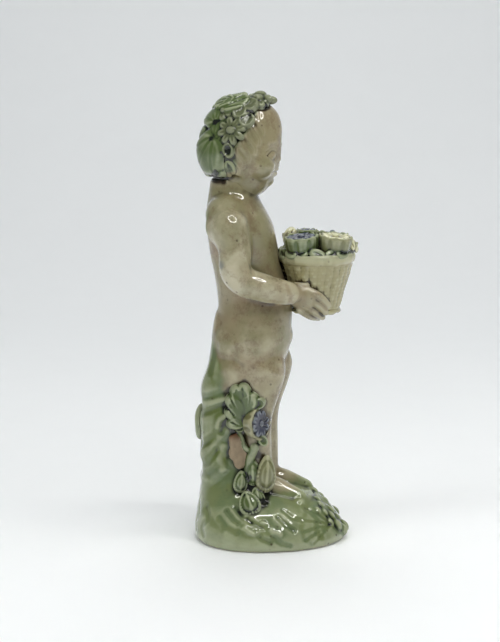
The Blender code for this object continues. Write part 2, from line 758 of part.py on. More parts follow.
def hollows(mesh):
    """Eye sockets, the furrow of the back, the navel and the thumb marks in the mound."""
    for side in SIDES:
        press(mesh, in_face(8.9, side * 4.1, -3.8), mm(3.2, 3.4, 2.8), 0.0015, (-1, side * -0.4, 0))
        press(mesh, in_face(9.3, side * 2.8, -8.2), mm(1.6, 1.4, 2.0), 0.0004, (-1, 0, 0))
    press(mesh, NECK + mm(-7.4, 0, -16), mm(3.0, 2.4, 18), 0.0009, (1, 0, 0))
    press(mesh, HIP + mm(11.4, 0, 14.4), mm(1.6, 1.6, 1.6), 0.0008, (-1, 0, 0))
    for height, turn, depth in ((7.6, -62, 1.1), (7.8, -40, 0.9), (8.4, -94, 0.9), (8.2, 70, 1.0)):
        t = math.radians(turn)
        reach = 0.5 * Vector((BASE_LENGTH * 0.88 * math.cos(t), BASE_WIDTH * 0.93 * math.sin(t), 0))
        spot = reach + mm(0, 0, height)
        press(mesh, spot, mm(3.6, 3.2, 2.2), depth * MM, -reach)


def touch(body, target, way, lift=0.0):
    """Where a thumb coming in along way towards the target meets the clay, and the normal there."""
    way = Vector(way).normalized()
    spot, normal, _, _ = body.ray_cast(target - way * 0.08, way)
    if spot is None:
        spot, normal = target, -way
    return spot + normal * lift, normal


def on_side(body, side, x, z, lift=0.0):
    """A point of the right (-1) or left (+1) side, given in millimetres along and above the mound."""
    return touch(body, mm(x, 0.0, z), (0.0, -side, 0.0), lift)


def on_round(body, x, height, turn, lift=0.0):
    """A point met on the way in to the upright line at x, turn degrees round from straight ahead."""
    t = math.radians(turn)
    return touch(body, mm(x, 0.0, height), (-math.cos(t), -math.sin(t), 0.0), lift)


def fan(clay, seat, root, tips, width, thickness):
    """Rounded leaf lobes from one root. seat turns two numbers into a point and its normal."""
    start, _ = seat(*root)
    for tip in tips:
        end, _ = seat(*tip)
        middle, normal = seat(*[(a + b) / 2 for a, b in zip(root, tip)])
        pad(clay, middle, end - start, normal, (end - start).length * 1.08, width, thickness)


def pressed_on(fused):
    """The fused body with every sprig, finger, petal and stave on it."""
    corners = [vertex.co.copy() for vertex in fused.vertices]
    body = BVHTree.FromPolygons(corners, [tuple(face.vertices) for face in fused.polygons])
    clay = bmesh.new()
    face(clay)
    curls(clay, body)
    wreath(clay, body)
    wickerwork(clay)
    posy(clay)
    garland(clay, body)
    far_sprig(clay, body)
    bark_folds(clay, body)
    rocks(clay, body)
    for side, step_ahead in FEET:
        coils(clay, fingers(side))
        toes(clay, side, step_ahead)
    clay.from_mesh(fused)
    mesh = bpy.data.meshes.new("cherub_figure")
    clay.to_mesh(mesh)
    clay.free()
    return mesh


def floor_cutter(helpers):
    """A slab whose top is the floor. It trims the mound flat."""
    bpy.ops.mesh.primitive_cube_add(size=1.0, location=(0, 0, -FLOOR_CUT_DEPTH / 2))
    slab = bpy.context.object
    slab.name = "floor_cutter"
    slab.data.transform(Matrix.Diagonal((BASE_LENGTH * 2, BASE_WIDTH * 2, FLOOR_CUT_DEPTH, 1.0)))
    for user in list(slab.users_collection):
        user.objects.unlink(slab)
    helpers.objects.link(slab)
    slab.hide_render = True
    slab.display_type = "WIRE"
    return slab


def main():
    clear_scene()
    pieces = collection("cherub_figure")
    helpers = collection("cutters")
    figure = bpy.data.objects.new("cherub_figure", pressed_on(soft_masses()))
    pieces.objects.link(figure)
    figure.data.materials.clear()
    figure.data.materials.append(glaze("green_brown_glaze", (0.29, 0.28, 0.18), 0.18))

    fuse = figure.modifiers.new("fuse", "REMESH")
    fuse.mode = "VOXEL"
    fuse.voxel_size = FUSE_GRAIN
    fuse.use_smooth_shade = True
    wet = figure.modifiers.new("wet_sponge", "SMOOTH")
    wet.factor = 0.5
    wet.iterations = 2
    thin = figure.modifiers.new("thin", "DECIMATE")
    thin.ratio = FACET_SHARE
    trim = figure.modifiers.new("trim", "BOOLEAN")
    trim.operation = "DIFFERENCE"
    trim.solver = "EXACT"
    trim.object = floor_cutter(helpers)


main()
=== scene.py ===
"""Looks of the glazed pottery cherub: the pressed clay in fine detail, its lead glazes and the light on it.

Every piece stands for the one fired body. Sizes are metres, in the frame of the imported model:
+X is the way the child looks, +Y its left, +Z up, and z = 0 is what it stands on.
"""

import math
import random
from types import SimpleNamespace

import bmesh
import bpy
import numpy as np
from mathutils import Matrix, Vector
from mathutils.bvhtree import BVHTree
from mathutils.kdtree import KDTree


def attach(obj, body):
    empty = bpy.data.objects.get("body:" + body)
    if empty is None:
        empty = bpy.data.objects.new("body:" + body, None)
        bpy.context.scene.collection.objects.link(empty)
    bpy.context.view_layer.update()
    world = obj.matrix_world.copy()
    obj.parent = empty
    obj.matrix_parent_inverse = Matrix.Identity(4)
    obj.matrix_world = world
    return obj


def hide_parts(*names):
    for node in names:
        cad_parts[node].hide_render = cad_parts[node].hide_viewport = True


bl_info = {
    "name": "Glazed pottery cherub",
    "version": (1, 0, 0),
    "blender": (4, 5, 0),
    "location": "View3D > Sidebar > Cherub",
    "description": "Models and glazes a pottery cherub with a basket of flowers",
    "category": "Add Mesh",
}

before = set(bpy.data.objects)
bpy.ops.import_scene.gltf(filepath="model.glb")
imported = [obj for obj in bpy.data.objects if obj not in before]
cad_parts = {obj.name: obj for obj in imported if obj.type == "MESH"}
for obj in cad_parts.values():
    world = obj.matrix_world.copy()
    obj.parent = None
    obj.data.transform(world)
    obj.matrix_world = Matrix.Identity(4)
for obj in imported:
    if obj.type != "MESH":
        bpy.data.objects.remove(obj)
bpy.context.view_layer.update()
NODE = "cherub_figure"
MM = 0.001
SIDES = (-1, 1)
# The photograph in pixels: its height, its focal length and the row it looks at level.
PHOTO_HEIGHT = 642
PHOTO_FOCAL = 1800
PHOTO_LEVEL = 327.3
RING_DISTANCE = 0.45
# The middle of the bluish spot on the right upper arm.
BLUISH_SPOT = (-0.0131, -0.0150, 0.0795)

TORSO_SECTIONS = (
    # share of the torso's length, back, front and half width
    (-0.10, -14.0, 3.4, 9.6),
    (-0.02, -15.2, 4.9, 10.8),
    (0.05, -15.8, 5.6, 11.2),
    (0.14, -15.5, 5.8, 11.0),
    (0.25, -15.0, 6.1, 10.5),
    (0.35, -15.0, 5.8, 10.1),
    (0.47, -15.8, 4.2, 9.9),
    (0.58, -16.8, 2.8, 10.2),
    (0.70, -17.6, 1.7, 11.0),
    (0.81, -18.3, 0.7, 11.8),
    (0.90, -18.2, -1.2, 10.6),
    (0.97, -17.8, -3.0, 8.4),
    (1.04, -17.3, -3.9, 7.0),
    (1.12, -16.8, -4.2, 6.6),
)
LEG_SECTIONS = (
    # share of the leg's length, back, front and half width, about the leg's own axis
    (0.00, -9.0, 2.0, 4.4),
    (0.10, -8.0, 0.6, 3.5),
    (0.22, -7.9, 0.3, 3.5),
    (0.36, -8.6, 0.2, 4.2),
    (0.52, -8.8, 0.2, 4.4),
    (0.64, -8.9, 1.4, 4.9),
    (0.78, -9.8, 3.4, 5.6),
    (0.90, -10.8, 4.2, 5.9),
    (1.02, -11.4, 2.4, 5.2),
    (1.14, -10.5, 0.0, 3.6),
)
MOUND_SECTIONS = (
    # share of the mound's height, then shares of the half length behind and ahead, and of the half width
    (0.00, 0.985, 0.980, 0.980),
    (0.06, 0.995, 0.992, 0.992),
    (0.12, 1.000, 1.000, 1.000),
    (0.30, 0.998, 0.960, 0.985),
    (0.50, 0.985, 0.880, 0.935),
    (0.70, 0.965, 0.790, 0.850),
    (0.86, 0.950, 0.680, 0.740),
    (1.00, 0.935, 0.520, 0.600),
    (1.14, 0.925, 0.250, 0.500),
)
STUMP_SECTIONS = (
    # share of the stump's height, back, front and half width
    (0.10, -21.0, -3.0, 12.6),
    (0.20, -20.3, -4.4, 10.8),
    (0.29, -19.7, -4.8, 9.8),
    (0.36, -20.4, -4.6, 9.4),
    (0.43, -20.2, -4.6, 9.0),
    (0.53, -20.5, -4.8, 9.2),
    (0.585, -19.6, -5.0, 9.0),
    (0.64, -20.1, -5.4, 9.0),
    (0.69, -19.8, -6.4, 8.8),
    (0.76, -18.1, -8.4, 8.6),
    (0.82, -17.3, -10.4, 8.2),
    (0.89, -16.7, -11.8, 7.2),
    (0.95, -16.1, -13.0, 5.2),
    (1.00, -15.4, -13.8, 2.4),
)
LOCKS = (
    # degrees round the head and up where a strand starts, the same where it ends, and its swing
    (60, 50, 56, 22, 2.0),
    (68, 42, 64, 8, 2.5),
    (77, 32, 71, -6, 3.0),
    (86, 20, 80, -18, 3.0),
    (95, 8, 89, -28, 3.0),
    (104, -4, 98, -38, 3.0),
)


def length(name, default, description):
    """A length that a user may change."""
    return bpy.props.FloatProperty(name=name, description=description, default=default, min=0.0, unit="LENGTH")


def colour(name, default, description):
    """A glaze colour that a user may change."""
    return bpy.props.FloatVectorProperty(
        name=name, description=description, default=default, size=3, min=0.0, max=1.0, subtype="COLOR"
    )


class CherubSizes(bpy.types.PropertyGroup):
    """The sizes of the clay."""

    base_length: length("Base length", 0.0433, "Mound from back to front")
    base_width: length("Base width", 0.0400, "Mound from side to side")
    mound_height: length("Mound height", 0.0126, "Height of the mound under the feet")
    stump_height: length("Stump height", 0.0650, "Top of the tree stump above the table")
    leg_length: length("Leg length", 0.0414, "From the mound to the hips")
    leg_spacing: length("Leg spacing", 0.0101, "Between the middles of the two legs")
    stride: length("Stride", 0.0020, "How far the left foot stands ahead")
    torso_length: length("Torso length", 0.0430, "From the hips to the neck")
    neck_to_head: length("Neck to head", 0.0156, "From the neck to the middle of the head")
    head_depth: length("Head depth", 0.0206, "From the forehead to the back of the head")
    head_width: length("Head width", 0.0198, "From temple to temple")
    head_height: length("Head height", 0.0218, "From chin to crown")
    head_turn: bpy.props.FloatProperty(
        name="Head turn", description="How far the face turns to the left", default=math.radians(-9.0), subtype="ANGLE"
    )
    shoulder_spread: length("Shoulder spread", 0.0210, "Between the two shoulder joints")
    arm_radius: length("Arm radius", 0.0044, "Half the thickness of the forearm")
    wrist_radius: length("Wrist radius", 0.0034, "Half the thickness of the wrist")
    finger_radius: length("Finger radius", 0.00120, "Half the thickness of a finger")
    basket_reach: length("Basket reach", 0.0126, "How far ahead the basket is held")
    basket_above_hip: length("Basket above hip", 0.0104, "Foot of the basket above the hips")
    basket_height: length("Basket height", 0.0171, "From the basket's foot to its rim")
    basket_rim: length("Basket rim radius", 0.0109, "Half the width of the rim")
    basket_foot: length("Basket foot radius", 0.0062, "Half the width of the foot")
    collar_height: length("Collar height", 0.0029, "Height of the plain collar below the rim")
    collar_step: length("Collar step", 0.0007, "How far the collar stands out from the wickerwork")
    staves: bpy.props.IntProperty(name="Staves", description="Upright staves round the basket", default=26, min=8)
    bloom_radius: length("Bloom radius", 0.0048, "Half the width of a flower in the basket")
    bloom_height: length("Bloom height", 0.0058, "Height of a flower above the rim")
    leaf_thickness: length("Leaf thickness", 0.0014, "How proud a pressed leaf stands")


class CherubGlazes(bpy.types.PropertyGroup):
    """The colours of the glazes, as linear colours under plain light. The colours for glaze pools also stand for
    painted shade in joints and pits, and the thin leaf colour for a painted sheen.
    """

    flesh_thin: colour("Flesh, thin", (0.42, 0.385, 0.25), "Clear glaze over the pale clay")
    flesh_full: colour("Flesh, full", (0.300, 0.262, 0.150), "Clear glaze at its usual thickness")
    flesh_warm: colour("Flesh, warm", (0.300, 0.215, 0.130), "Clear glaze where iron stains it")
    # Also painted shade in joints and pits.
    flesh_pool_and_shade: colour("Flesh, pooled", (0.026, 0.015, 0.006), "Clear glaze where it pools")
    green_thin: colour("Green, thin", (0.30, 0.33, 0.19), "Green glaze where it runs off an edge")
    green_full: colour("Green, full", (0.112, 0.146, 0.040), "Green glaze at its usual thickness")
    green_cool: colour("Green, cool", (0.118, 0.165, 0.075), "Green glaze where it turns bluish")
    # Also painted shade in joints, pits and gaps of the sprigs.
    green_pool_and_shade: colour("Green, pooled", (0.006, 0.011, 0.004), "Green glaze where it pools")
    # Also a painted sheen: raised to give the leaf edges the pale look of reflected light.
    leaf_edge_and_sheen: colour("Leaf, thin", (0.29, 0.325, 0.19), "Green glaze on the edge of a leaf")
    leaf_full: colour("Leaf, full", (0.080, 0.118, 0.033), "Green glaze on a leaf")
    petal_thin: colour("Petal, thin", (0.215, 0.235, 0.135), "Pale green glaze on the edge of a petal")
    petal_full: colour("Petal, full", (0.100, 0.116, 0.054), "Pale green glaze on a petal")
    blue_thin: colour("Blue, thin", (0.15, 0.17, 0.20), "Blue glaze on the edge of a petal")
    blue_full: colour("Blue, full", (0.026, 0.031, 0.060), "Blue glaze on petals")
    # Also painted shade between the petals.
    blue_pool_and_shade: colour("Blue, pooled", (0.004, 0.005, 0.018), "Blue glaze between petals")
    cream: colour("Cream", (0.76, 0.75, 0.52), "Clear glaze on a pale petal")
    wicker_thin: colour("Wicker, thin", (0.46, 0.43, 0.25), "Yellowish glaze on the staves")
    wicker_full: colour("Wicker, full", (0.34, 0.31, 0.155), "Yellowish glaze on the basket")
    scar: colour("Bare clay", (0.33, 0.26, 0.175), "Unglazed clay where a leaf broke off")
    rust: colour("Rust", (0.10, 0.035, 0.012), "Brown stain at the top of the bare clay")


class CherubStage(bpy.types.PropertyGroup):
    """The table, the light and the camera."""

    table: colour("Table", (0.905, 0.925, 0.935), "Pale paper under and behind the figure")
    ring_radius: length("Ring radius", 0.150, "Radius of the ring light")
    ring_glow: bpy.props.FloatProperty(
        name="Ring glow", description="Strength of the ring light", default=20.0, min=0.0
    )
    camera_distance: length("Camera distance", 0.5, "From the camera to the figure")
    camera_height: length("Camera height", 0.140, "Height of the camera above the table")


def mm(x, y, z):
    """A point or step given in millimetres."""
    return Vector((x, y, z)) * MM


def plan():
    """The sizes in use, with the places that follow from them."""
    s = bpy.context.scene.cherub_sizes
    hip = Vector((-0.0050, 0.0, s.mound_height + s.leg_length))
    neck = Vector((-0.0105, 0.0, hip.z + s.torso_length))
    head = Vector((-0.0075, 0.0, neck.z + s.neck_to_head))
    hair_size = (s.head_depth / 2 + 0.0009, s.head_width / 2 + 0.0002, s.head_height / 2 + 0.0012)
    basket = Vector((s.basket_reach, 0.0, hip.z + s.basket_above_hip))
    feet = ((-1, 0.0), (1, s.stride))
    hair = head + Vector((-0.0008, 0.0, -0.0022))
    return SimpleNamespace(s=s, hip=hip, neck=neck, head=head, hair=hair, hair_size=hair_size, basket=basket, feet=feet)


# Bench work


def clear_bench():
    """Nothing stays selected, so an operator works on the new clay alone."""
    active = bpy.context.view_layer.objects.active
    if active is not None and active.mode != "OBJECT":
        bpy.ops.object.mode_set(mode="OBJECT")
    bpy.ops.object.select_all(action="DESELECT")


def take(*objects):
    """Selects these objects, the last one active."""
    clear_bench()
    for obj in objects:
        obj.select_set(True)
    bpy.context.view_layer.objects.active = objects[-1]


def join(lumps, name):
    """One object from several lumps of clay, with its place in its mesh."""
    if not lumps:
        raise RuntimeError(name + " has no clay")
    take(*lumps)
    if len(lumps) > 1:
        bpy.ops.object.join()
    bpy.ops.object.transform_apply(location=True, rotation=True, scale=True)
    piece = bpy.context.object
    piece.name = piece.data.name = name
    piece.data.materials.clear()
    return piece


def finish_with(obj, kind, **settings):
    """Applies one modifier."""
    take(obj)
    modifier = obj.modifiers.new(kind.lower(), kind)
    for key, value in settings.items():
        setattr(modifier, key, value)
    bpy.ops.object.modifier_apply(modifier=modifier.name)


def fuse(obj, grain, passes=2):
    """Kneads the lumps into one closed skin of that grain and wipes it with a wet sponge."""
    finish_with(obj, "REMESH", mode="VOXEL", voxel_size=grain)
    finish_with(obj, "SMOOTH", factor=0.5, iterations=passes)


def keep_under(obj, triangles):
    """Thins the skin where it is flattest until it has no more than that many triangles."""
    have = sum(len(face.vertices) - 2 for face in obj.data.polygons)
    if have > triangles:
        finish_with(obj, "DECIMATE", ratio=triangles / have)


def ball(centre, radii, turn=(0.0, 0.0, 0.0), segments=24):
    """An egg-shaped lump, turned by degrees about x, y and z."""
    clear_bench()
    bpy.ops.mesh.primitive_uv_sphere_add(
        segments=segments,
        ring_count=segments // 2,
        radius=1.0,
        location=centre,
        rotation=[math.radians(a) for a in turn],
        scale=radii,
    )
    return bpy.context.object


def facing(normal, along):
    """A turn that takes x to along and z to normal."""
    z = Vector(normal).normalized()
    x = Vector(along)
    x = (x - z * x.dot(z)).normalized()
    return Matrix((x, z.cross(x), z)).transposed()


def roll(line):
    """A roll of clay along a smooth line of (point, radius), with round ends."""
    clear_bench()
    data = bpy.data.curves.new("roll", "CURVE")
    data.dimensions = "3D"
    data.bevel_depth = 1.0
    data.bevel_resolution = 5
    data.resolution_u = 8
    data.use_fill_caps = True
    spline = data.splines.new("BEZIER")
    spline.bezier_points.add(len(line) - 1)
    for knot, (point, radius) in zip(spline.bezier_points, line):
        knot.co = point
        knot.radius = radius
        knot.handle_left_type = knot.handle_right_type = "AUTO"
    obj = bpy.data.objects.new("roll", data)
    bpy.context.collection.objects.link(obj)
    take(obj)
    bpy.ops.object.convert(target="MESH")
    ends = [ball(point, (radius,) * 3, segments=14) for point, radius in (line[0], line[-1])]
    return [obj, *ends]


def eased(levels, steps=3):
    """The same stack of sections with soft steps between them (Catmull-Rom)."""
    out = []
    rows = [levels[0], *levels, levels[-1]]
    for a, b, c, d in zip(rows, rows[1:], rows[2:], rows[3:]):
        for step in range(steps):
            t = step / steps
            weights = (
                (-t + 2 * t**2 - t**3) / 2,
                (2 - 5 * t**2 + 3 * t**3) / 2,
                (t + 4 * t**2 - 3 * t**3) / 2,
                (-(t**2) + t**3) / 2,
            )
            out.append([sum(w * row[k] for w, row in zip(weights, (a, b, c, d))) for k in range(len(b))])
    out.append(list(levels[-1]))
    return out


def tower(levels, power=2.0, egg=0.0, count=40):
    """A disc of clay extruded level by level. Each level is z, back, front, right and left."""
    clear_bench()
    stack = eased(levels)
    bpy.ops.mesh.primitive_circle_add(vertices=count, radius=1.0, fill_type="NGON")
    obj = bpy.context.object
    z, back, front, right, left = stack[0]
    middle = Vector(((back + front) / 2, (right + left) / 2, z))
    half = ((front - back) / 2, (left - right) / 2)
    for vertex in obj.data.vertices:
        angle = math.atan2(vertex.co.y, vertex.co.x)
        ahead = math.copysign(abs(math.cos(angle)) ** (2 / power), math.cos(angle))
        beside = math.copysign(abs(math.sin(angle)) ** (2 / power), math.sin(angle))
        vertex.co = middle + Vector((ahead * half[0], beside * (1 - egg * ahead) * half[1], 0.0))
    bpy.ops.object.mode_set(mode="EDIT")
    bpy.ops.mesh.select_all(action="SELECT")
    for z, back, front, right, left in stack[1:]:
        new_middle = Vector(((back + front) / 2, (right + left) / 2, z))
        new_half = ((front - back) / 2, (left - right) / 2)
        bpy.ops.mesh.extrude_region_move(TRANSFORM_OT_translate={"value": new_middle - middle})
        grow = (new_half[0] / half[0], new_half[1] / half[1], 1.0)
        bpy.ops.transform.resize(value=grow, center_override=new_middle)
        middle, half = new_middle, new_half
    bpy.ops.mesh.select_all(action="SELECT")
    bpy.ops.mesh.normals_make_consistent(inside=False)
    bpy.ops.object.mode_set(mode="OBJECT")
    return obj


class Skin:
    """The points of a piece and the way out at each, as arrays that thumbs and tools work on."""

    def __init__(self, obj):
        self.mesh = obj.data
        count = len(self.mesh.vertices)
        flat = np.empty(count * 3, np.float32)
        self.mesh.vertices.foreach_get("co", flat)
        self.points = flat.reshape(-1, 3).astype(np.float64)
        self.mesh.vertex_normals.foreach_get("vector", flat)
        self.out = flat.reshape(-1, 3).astype(np.float64)
        ends = np.empty(len(self.mesh.edges) * 2, np.int32)
        self.mesh.edges.foreach_get("vertices", ends)
        self.ends = ends.reshape(-1, 2)
        self.count = np.maximum(np.bincount(ends, minlength=count), 1)

    def thumb(self, centre, size, depth, way=None):
        """Presses in (or, with a negative depth, draws out) a soft round place."""
        away = np.linalg.norm((self.points - np.array(centre)) / np.array(size), axis=1)
        strength = np.clip(1 - away**2, 0, 1) ** 2
        direction = -self.out if way is None else np.array(Vector(way).normalized())
        self.points += strength[:, None] * depth * direction

    def line(self, path, width, depth):
        """Draws a tool along a path: a groove, or a ridge with a negative depth."""
        far = self.distance(path)
        strength = np.clip(1 - (far / width) ** 2, 0, 1) ** 2
        self.points -= strength[:, None] * depth * self.out

    def distance(self, path):
        """How far each point is from a path."""
        nearest = np.full(len(self.points), 1e9)
        for a, b in zip(path, path[1:]):
            a, b = np.array(a), np.array(b)
            span = b - a
            t = np.clip((self.points - a) @ span / max(span @ span, 1e-18), 0, 1)
            nearest = np.minimum(nearest, np.linalg.norm(self.points - a - t[:, None] * span, axis=1))
        return nearest

    def relaxed(self, values, passes):
        """Values spread evenly along the skin."""
        values = np.array(values, np.float64)
        flat = values.ndim == 1
        if flat:
            values = values[:, None]
        a, b = self.ends.T
        for _ in range(passes):
            total = np.empty_like(values)
            for k in range(values.shape[1]):
                total[:, k] = np.bincount(a, values[b, k], len(values)) + np.bincount(b, values[a, k], len(values))
            values = 0.5 * values + 0.5 * total / self.count[:, None]
        return values[:, 0] if flat else values

    def hold(self):
        """Sets the points back into the mesh."""
        self.mesh.vertices.foreach_set("co", self.points.astype(np.float32).ravel())
        self.mesh.update()

    def knead(self, depth, fineness):
        """Leaves the slight unevenness of hand work, drawn from a fixed set of soft waves."""
        dice = random.Random(29)
        uneven = np.zeros(len(self.points))
        for _ in range(14):
            way = np.array([dice.gauss(0, 1) for _ in range(3)])
            pace = fineness * dice.uniform(0.6, 1.8)
            uneven += np.sin(self.points @ (way / np.linalg.norm(way)) * math.tau * pace + dice.uniform(0, 6.28))
        self.points += self.out * (uneven * depth / 3.7)[:, None]

    def mark(self, name, values):
        """Keeps a number at every point for the glaze to read."""
        found = self.mesh.attributes.get(name) or self.mesh.attributes.new(name, "FLOAT", "POINT")
        found.data.foreach_set("value", np.asarray(values, np.float32))

    def feel(self, grain):
        """Marks where glaze collects and where shade is painted: creases as deep as a nail, and broad hollows. Ridges
        are marked too.
        """
        fine = self.relaxed(self.points, 6)
        broad = self.relaxed(fine, 44)
        crease = np.einsum("ij,ij->i", fine - self.points, self.out) / grain
        hollow = np.einsum("ij,ij->i", broad - self.points, self.out) / grain
        self.mark("crease", np.clip(self.relaxed(crease, 1) * 3.0, -1, 1))
        self.mark("hollow", np.clip(self.relaxed(hollow, 3), -1, 1))


def surface(obj):
    """What a lump that is pressed on meets."""
    mesh = obj.data
    corners = [vertex.co.copy() for vertex in mesh.vertices]
    return BVHTree.FromPolygons(corners, [tuple(face.vertices) for face in mesh.polygons])


def touch(body, target, way, lift=0.0):
    """Where a thumb coming in along way towards the target meets the clay, and the normal there."""
    way = Vector(way).normalized()
    spot, normal, _, _ = body.ray_cast(target - way * 0.08, way)
    if spot is None:
        spot, normal = target, -way
    return spot + normal * lift, normal


def on_head(p, body, turn, rise, lift=0.0):
    """A point of the head: turn is degrees from straight ahead towards the left, rise is degrees up."""
    t, r = math.radians(turn), math.radians(rise)
    way = Vector((math.cos(t) * math.cos(r), math.sin(t) * math.cos(r), math.sin(r)))
    return touch(body, p.hair, -way, lift)


def on_side(body, side, x, z, lift=0.0):
    """A point of the right (-1) or left (+1) side, given in millimetres along and above the mound."""
    return touch(body, mm(x, 0.0, z), (0.0, -side, 0.0), lift * MM)


def on_round(body, x, height, turn, lift=0.0):
    """A point met on the way in to the upright line at x, turn degrees round from straight ahead."""
    t = math.radians(turn)
    return touch(body, mm(x, 0.0, height), (-math.cos(t), -math.sin(t), 0.0), lift * MM)


def blade(size, taper=0.0, hollow=0.0, lobes=0, notch=0.0, veins=(), vein_depth=0.18, spine=0.0, rim=0.0, fine=22):
    """A petal or leaf, pressed thin: it lies along x, with its root at -x and its face up.

    size is length, width and thickness. taper narrows the root, hollow dishes the face, rim raises its edge,
    lobes and notch cut its edge, and the veins are drawn from the root at these degrees."""
    clear_bench()
    bpy.ops.mesh.primitive_grid_add(x_subdivisions=fine, y_subdivisions=fine, size=2.0)
    obj = bpy.context.object
    flat = np.empty(len(obj.data.vertices) * 3, np.float32)
    obj.data.vertices.foreach_get("co", flat)
    u, v, _ = flat.reshape(-1, 3).astype(np.float64).T
    long, wide, thick = size
    x = u * np.sqrt(1 - v * v / 2)
    y = v * np.sqrt(1 - u * u / 2)
    far = np.minimum(np.hypot(x, y), 1.0)
    edge = np.ones(len(x))
    if lobes:
        edge -= notch * far**3 * (0.5 + 0.5 * np.cos(lobes * np.arctan2(y, x) + math.pi))
    height = thick * np.sqrt(1 - far**5)
    height -= hollow * thick * np.exp(-((far / 0.62) ** 4))
    height += rim * thick * np.exp(-(((far - 0.80) / 0.10) ** 2))
    height -= spine * thick * np.exp(-((y / 0.10) ** 2)) * np.maximum(0.0, 1 - (np.abs(x) / 0.9) ** 3)
    from_root = np.arctan2(y, x + 1.04)
    root_far = np.hypot(x + 1.04, y)
    for degrees in veins:
        across = np.abs(from_root - math.radians(degrees)) * root_far
        height -= vein_depth * thick * np.exp(-((across / 0.055) ** 2)) * (far < 0.9) * np.clip(root_far * 2, 0, 1)
    shaped = np.stack((x * edge * long / 2, y * edge * wide / 2 * (1 + taper * x), height), axis=1)
    obj.data.vertices.foreach_set("co", shaped.astype(np.float32).ravel())
    return obj


def free_leaf(centre, along, normal, size, thickness=0.0009, **shape):
    """A blade set in the air where leaves crowd."""
    leaf = blade(size, **shape)
    leaf.data.transform(Matrix.Translation(centre) @ facing(normal, along).to_4x4())
    finish_with(leaf, "SOLIDIFY", thickness=thickness, offset=-1.0)
    return leaf


def press_on(obj, body, centre, normal, along, lift=0.0, lean=0.0):
    """Lays a blade on the clay so that it follows the form. lean lifts its tip."""
    turn = facing(normal, along)
    normal = turn @ Vector((0, 0, 1))
    xs = [vertex.co.x for vertex in obj.data.vertices]
    long = max(xs) - min(xs)
    reach = 0.012
    for vertex in obj.data.vertices:
        x, y, height = vertex.co
        target = centre + turn @ Vector((x, y, 0.0))
        spot = body.ray_cast(target + normal * reach, -normal, reach * 2)[0]
        if spot is None:
            spot = target - normal * min(0.002, (x * x + y * y) / 0.02)
        up = (x / long + 0.5) ** 2 * lean
        vertex.co = spot + normal * (height + lift + up)
    obj.data.update()
    finish_with(obj, "SOLIDIFY", thickness=0.0011, offset=-1.0)
    return obj


def leaf_between(body, seat, root, tip, width, thick, **shape):
    """A blade from one place to another. seat turns two numbers into a point and its normal."""
    start, _ = seat(*root)
    end, _ = seat(*tip)
    middle, normal = seat(*[(a + b) / 2 for a, b in zip(root, tip)])
    made = blade(((end - start).length * 1.08, width, thick), **shape)
    return press_on(made, body, middle, normal, end - start)


def rosette(body, centre, normal, radius, petals, thick, spin=0.0, button=0.30, hollow=0.5, around=1.25, spine=0.0):
    """A flat flower of round dished petals about a small button."""
    turn = facing(normal, Vector(normal).orthogonal())
    made = []
    for i in range(petals):
        angle = math.radians(spin) + math.tau * i / petals
        out = turn @ Vector((math.cos(angle), math.sin(angle), 0.0))
        width = 2 * around * 0.58 * radius * math.sin(math.pi / petals)
        petal = blade((radius * 0.86, width, thick), taper=0.25, hollow=hollow, spine=spine, fine=16)
        made.append(press_on(petal, body, centre + out * radius * 0.57, normal, out, lean=0.0003))
    made.append(
        ball(centre + normal * thick * 0.5, (radius * button, radius * button, radius * button * 0.8), segments=14)
    )
    return made


def labelled(lumps, label):
    """Notes which glaze a group of lumps takes."""
    for lump in lumps:
        lump["coat"] = label
    return lumps


def fused_piece(lumps, name, grain, passes=2, coats=(), most=190000):
    """Joins and fuses lumps, and marks each glaze of the list where its own lumps lie."""
    where, which = [], []
    for lump in lumps:
        points = np.empty(len(lump.data.vertices) * 3, np.float32)
        lump.data.vertices.foreach_get("co", points)
        turn, shift = np.array(lump.matrix_world.to_3x3()), np.array(lump.matrix_world.translation)
        where.append(points.reshape(-1, 3) @ turn.T + shift)
        which += [lump.get("coat", "")] * len(where[-1])
    where = np.concatenate(where)
    piece = join(lumps, name)
    fuse(piece, grain, passes)
    keep_under(piece, most)
    if coats:
        tree = KDTree(len(where))
        for i, place in enumerate(where):
            tree.insert(place, i)
        tree.balance()
        skin = Skin(piece)
        nearest = [which[tree.find(point)[1]] for point in skin.points]
        for coat in coats:
            values = np.array([1.0 if label == coat else 0.0 for label in nearest])
            skin.mark(coat, skin.relaxed(values, 3))
    return piece


def settle(piece, material):
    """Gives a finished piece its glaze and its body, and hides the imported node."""
    take(piece)
    bpy.ops.object.shade_smooth()
    piece.data.materials.clear()
    piece.data.materials.append(material)
    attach(piece, "root")
    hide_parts(NODE)
    return piece


# The child, the stump and the mound


def arm_line(p, side):
    """The points and radii of one arm, from the shoulder to the wrist at the basket."""
    s = p.s
    shoulder = p.neck + Vector((-0.0012, side * s.shoulder_spread / 2, -0.0078))
    elbow = p.neck + Vector((0.0012, side * (s.shoulder_spread / 2 + 0.0027), -0.0205))
    wrist = p.basket + Vector((-0.0080, side * (s.basket_foot + 0.0044), 0.0068))
    return [
        (shoulder, s.arm_radius * 1.30),
        (shoulder.lerp(elbow, 0.45) + mm(0.6, side * 0.5, 0.0), s.arm_radius * 1.06),
        (elbow, s.arm_radius),
        (elbow.lerp(wrist, 0.50) + mm(0.0, side * 0.6, -0.9), s.arm_radius * 0.93),
        (wrist, s.wrist_radius),
    ]


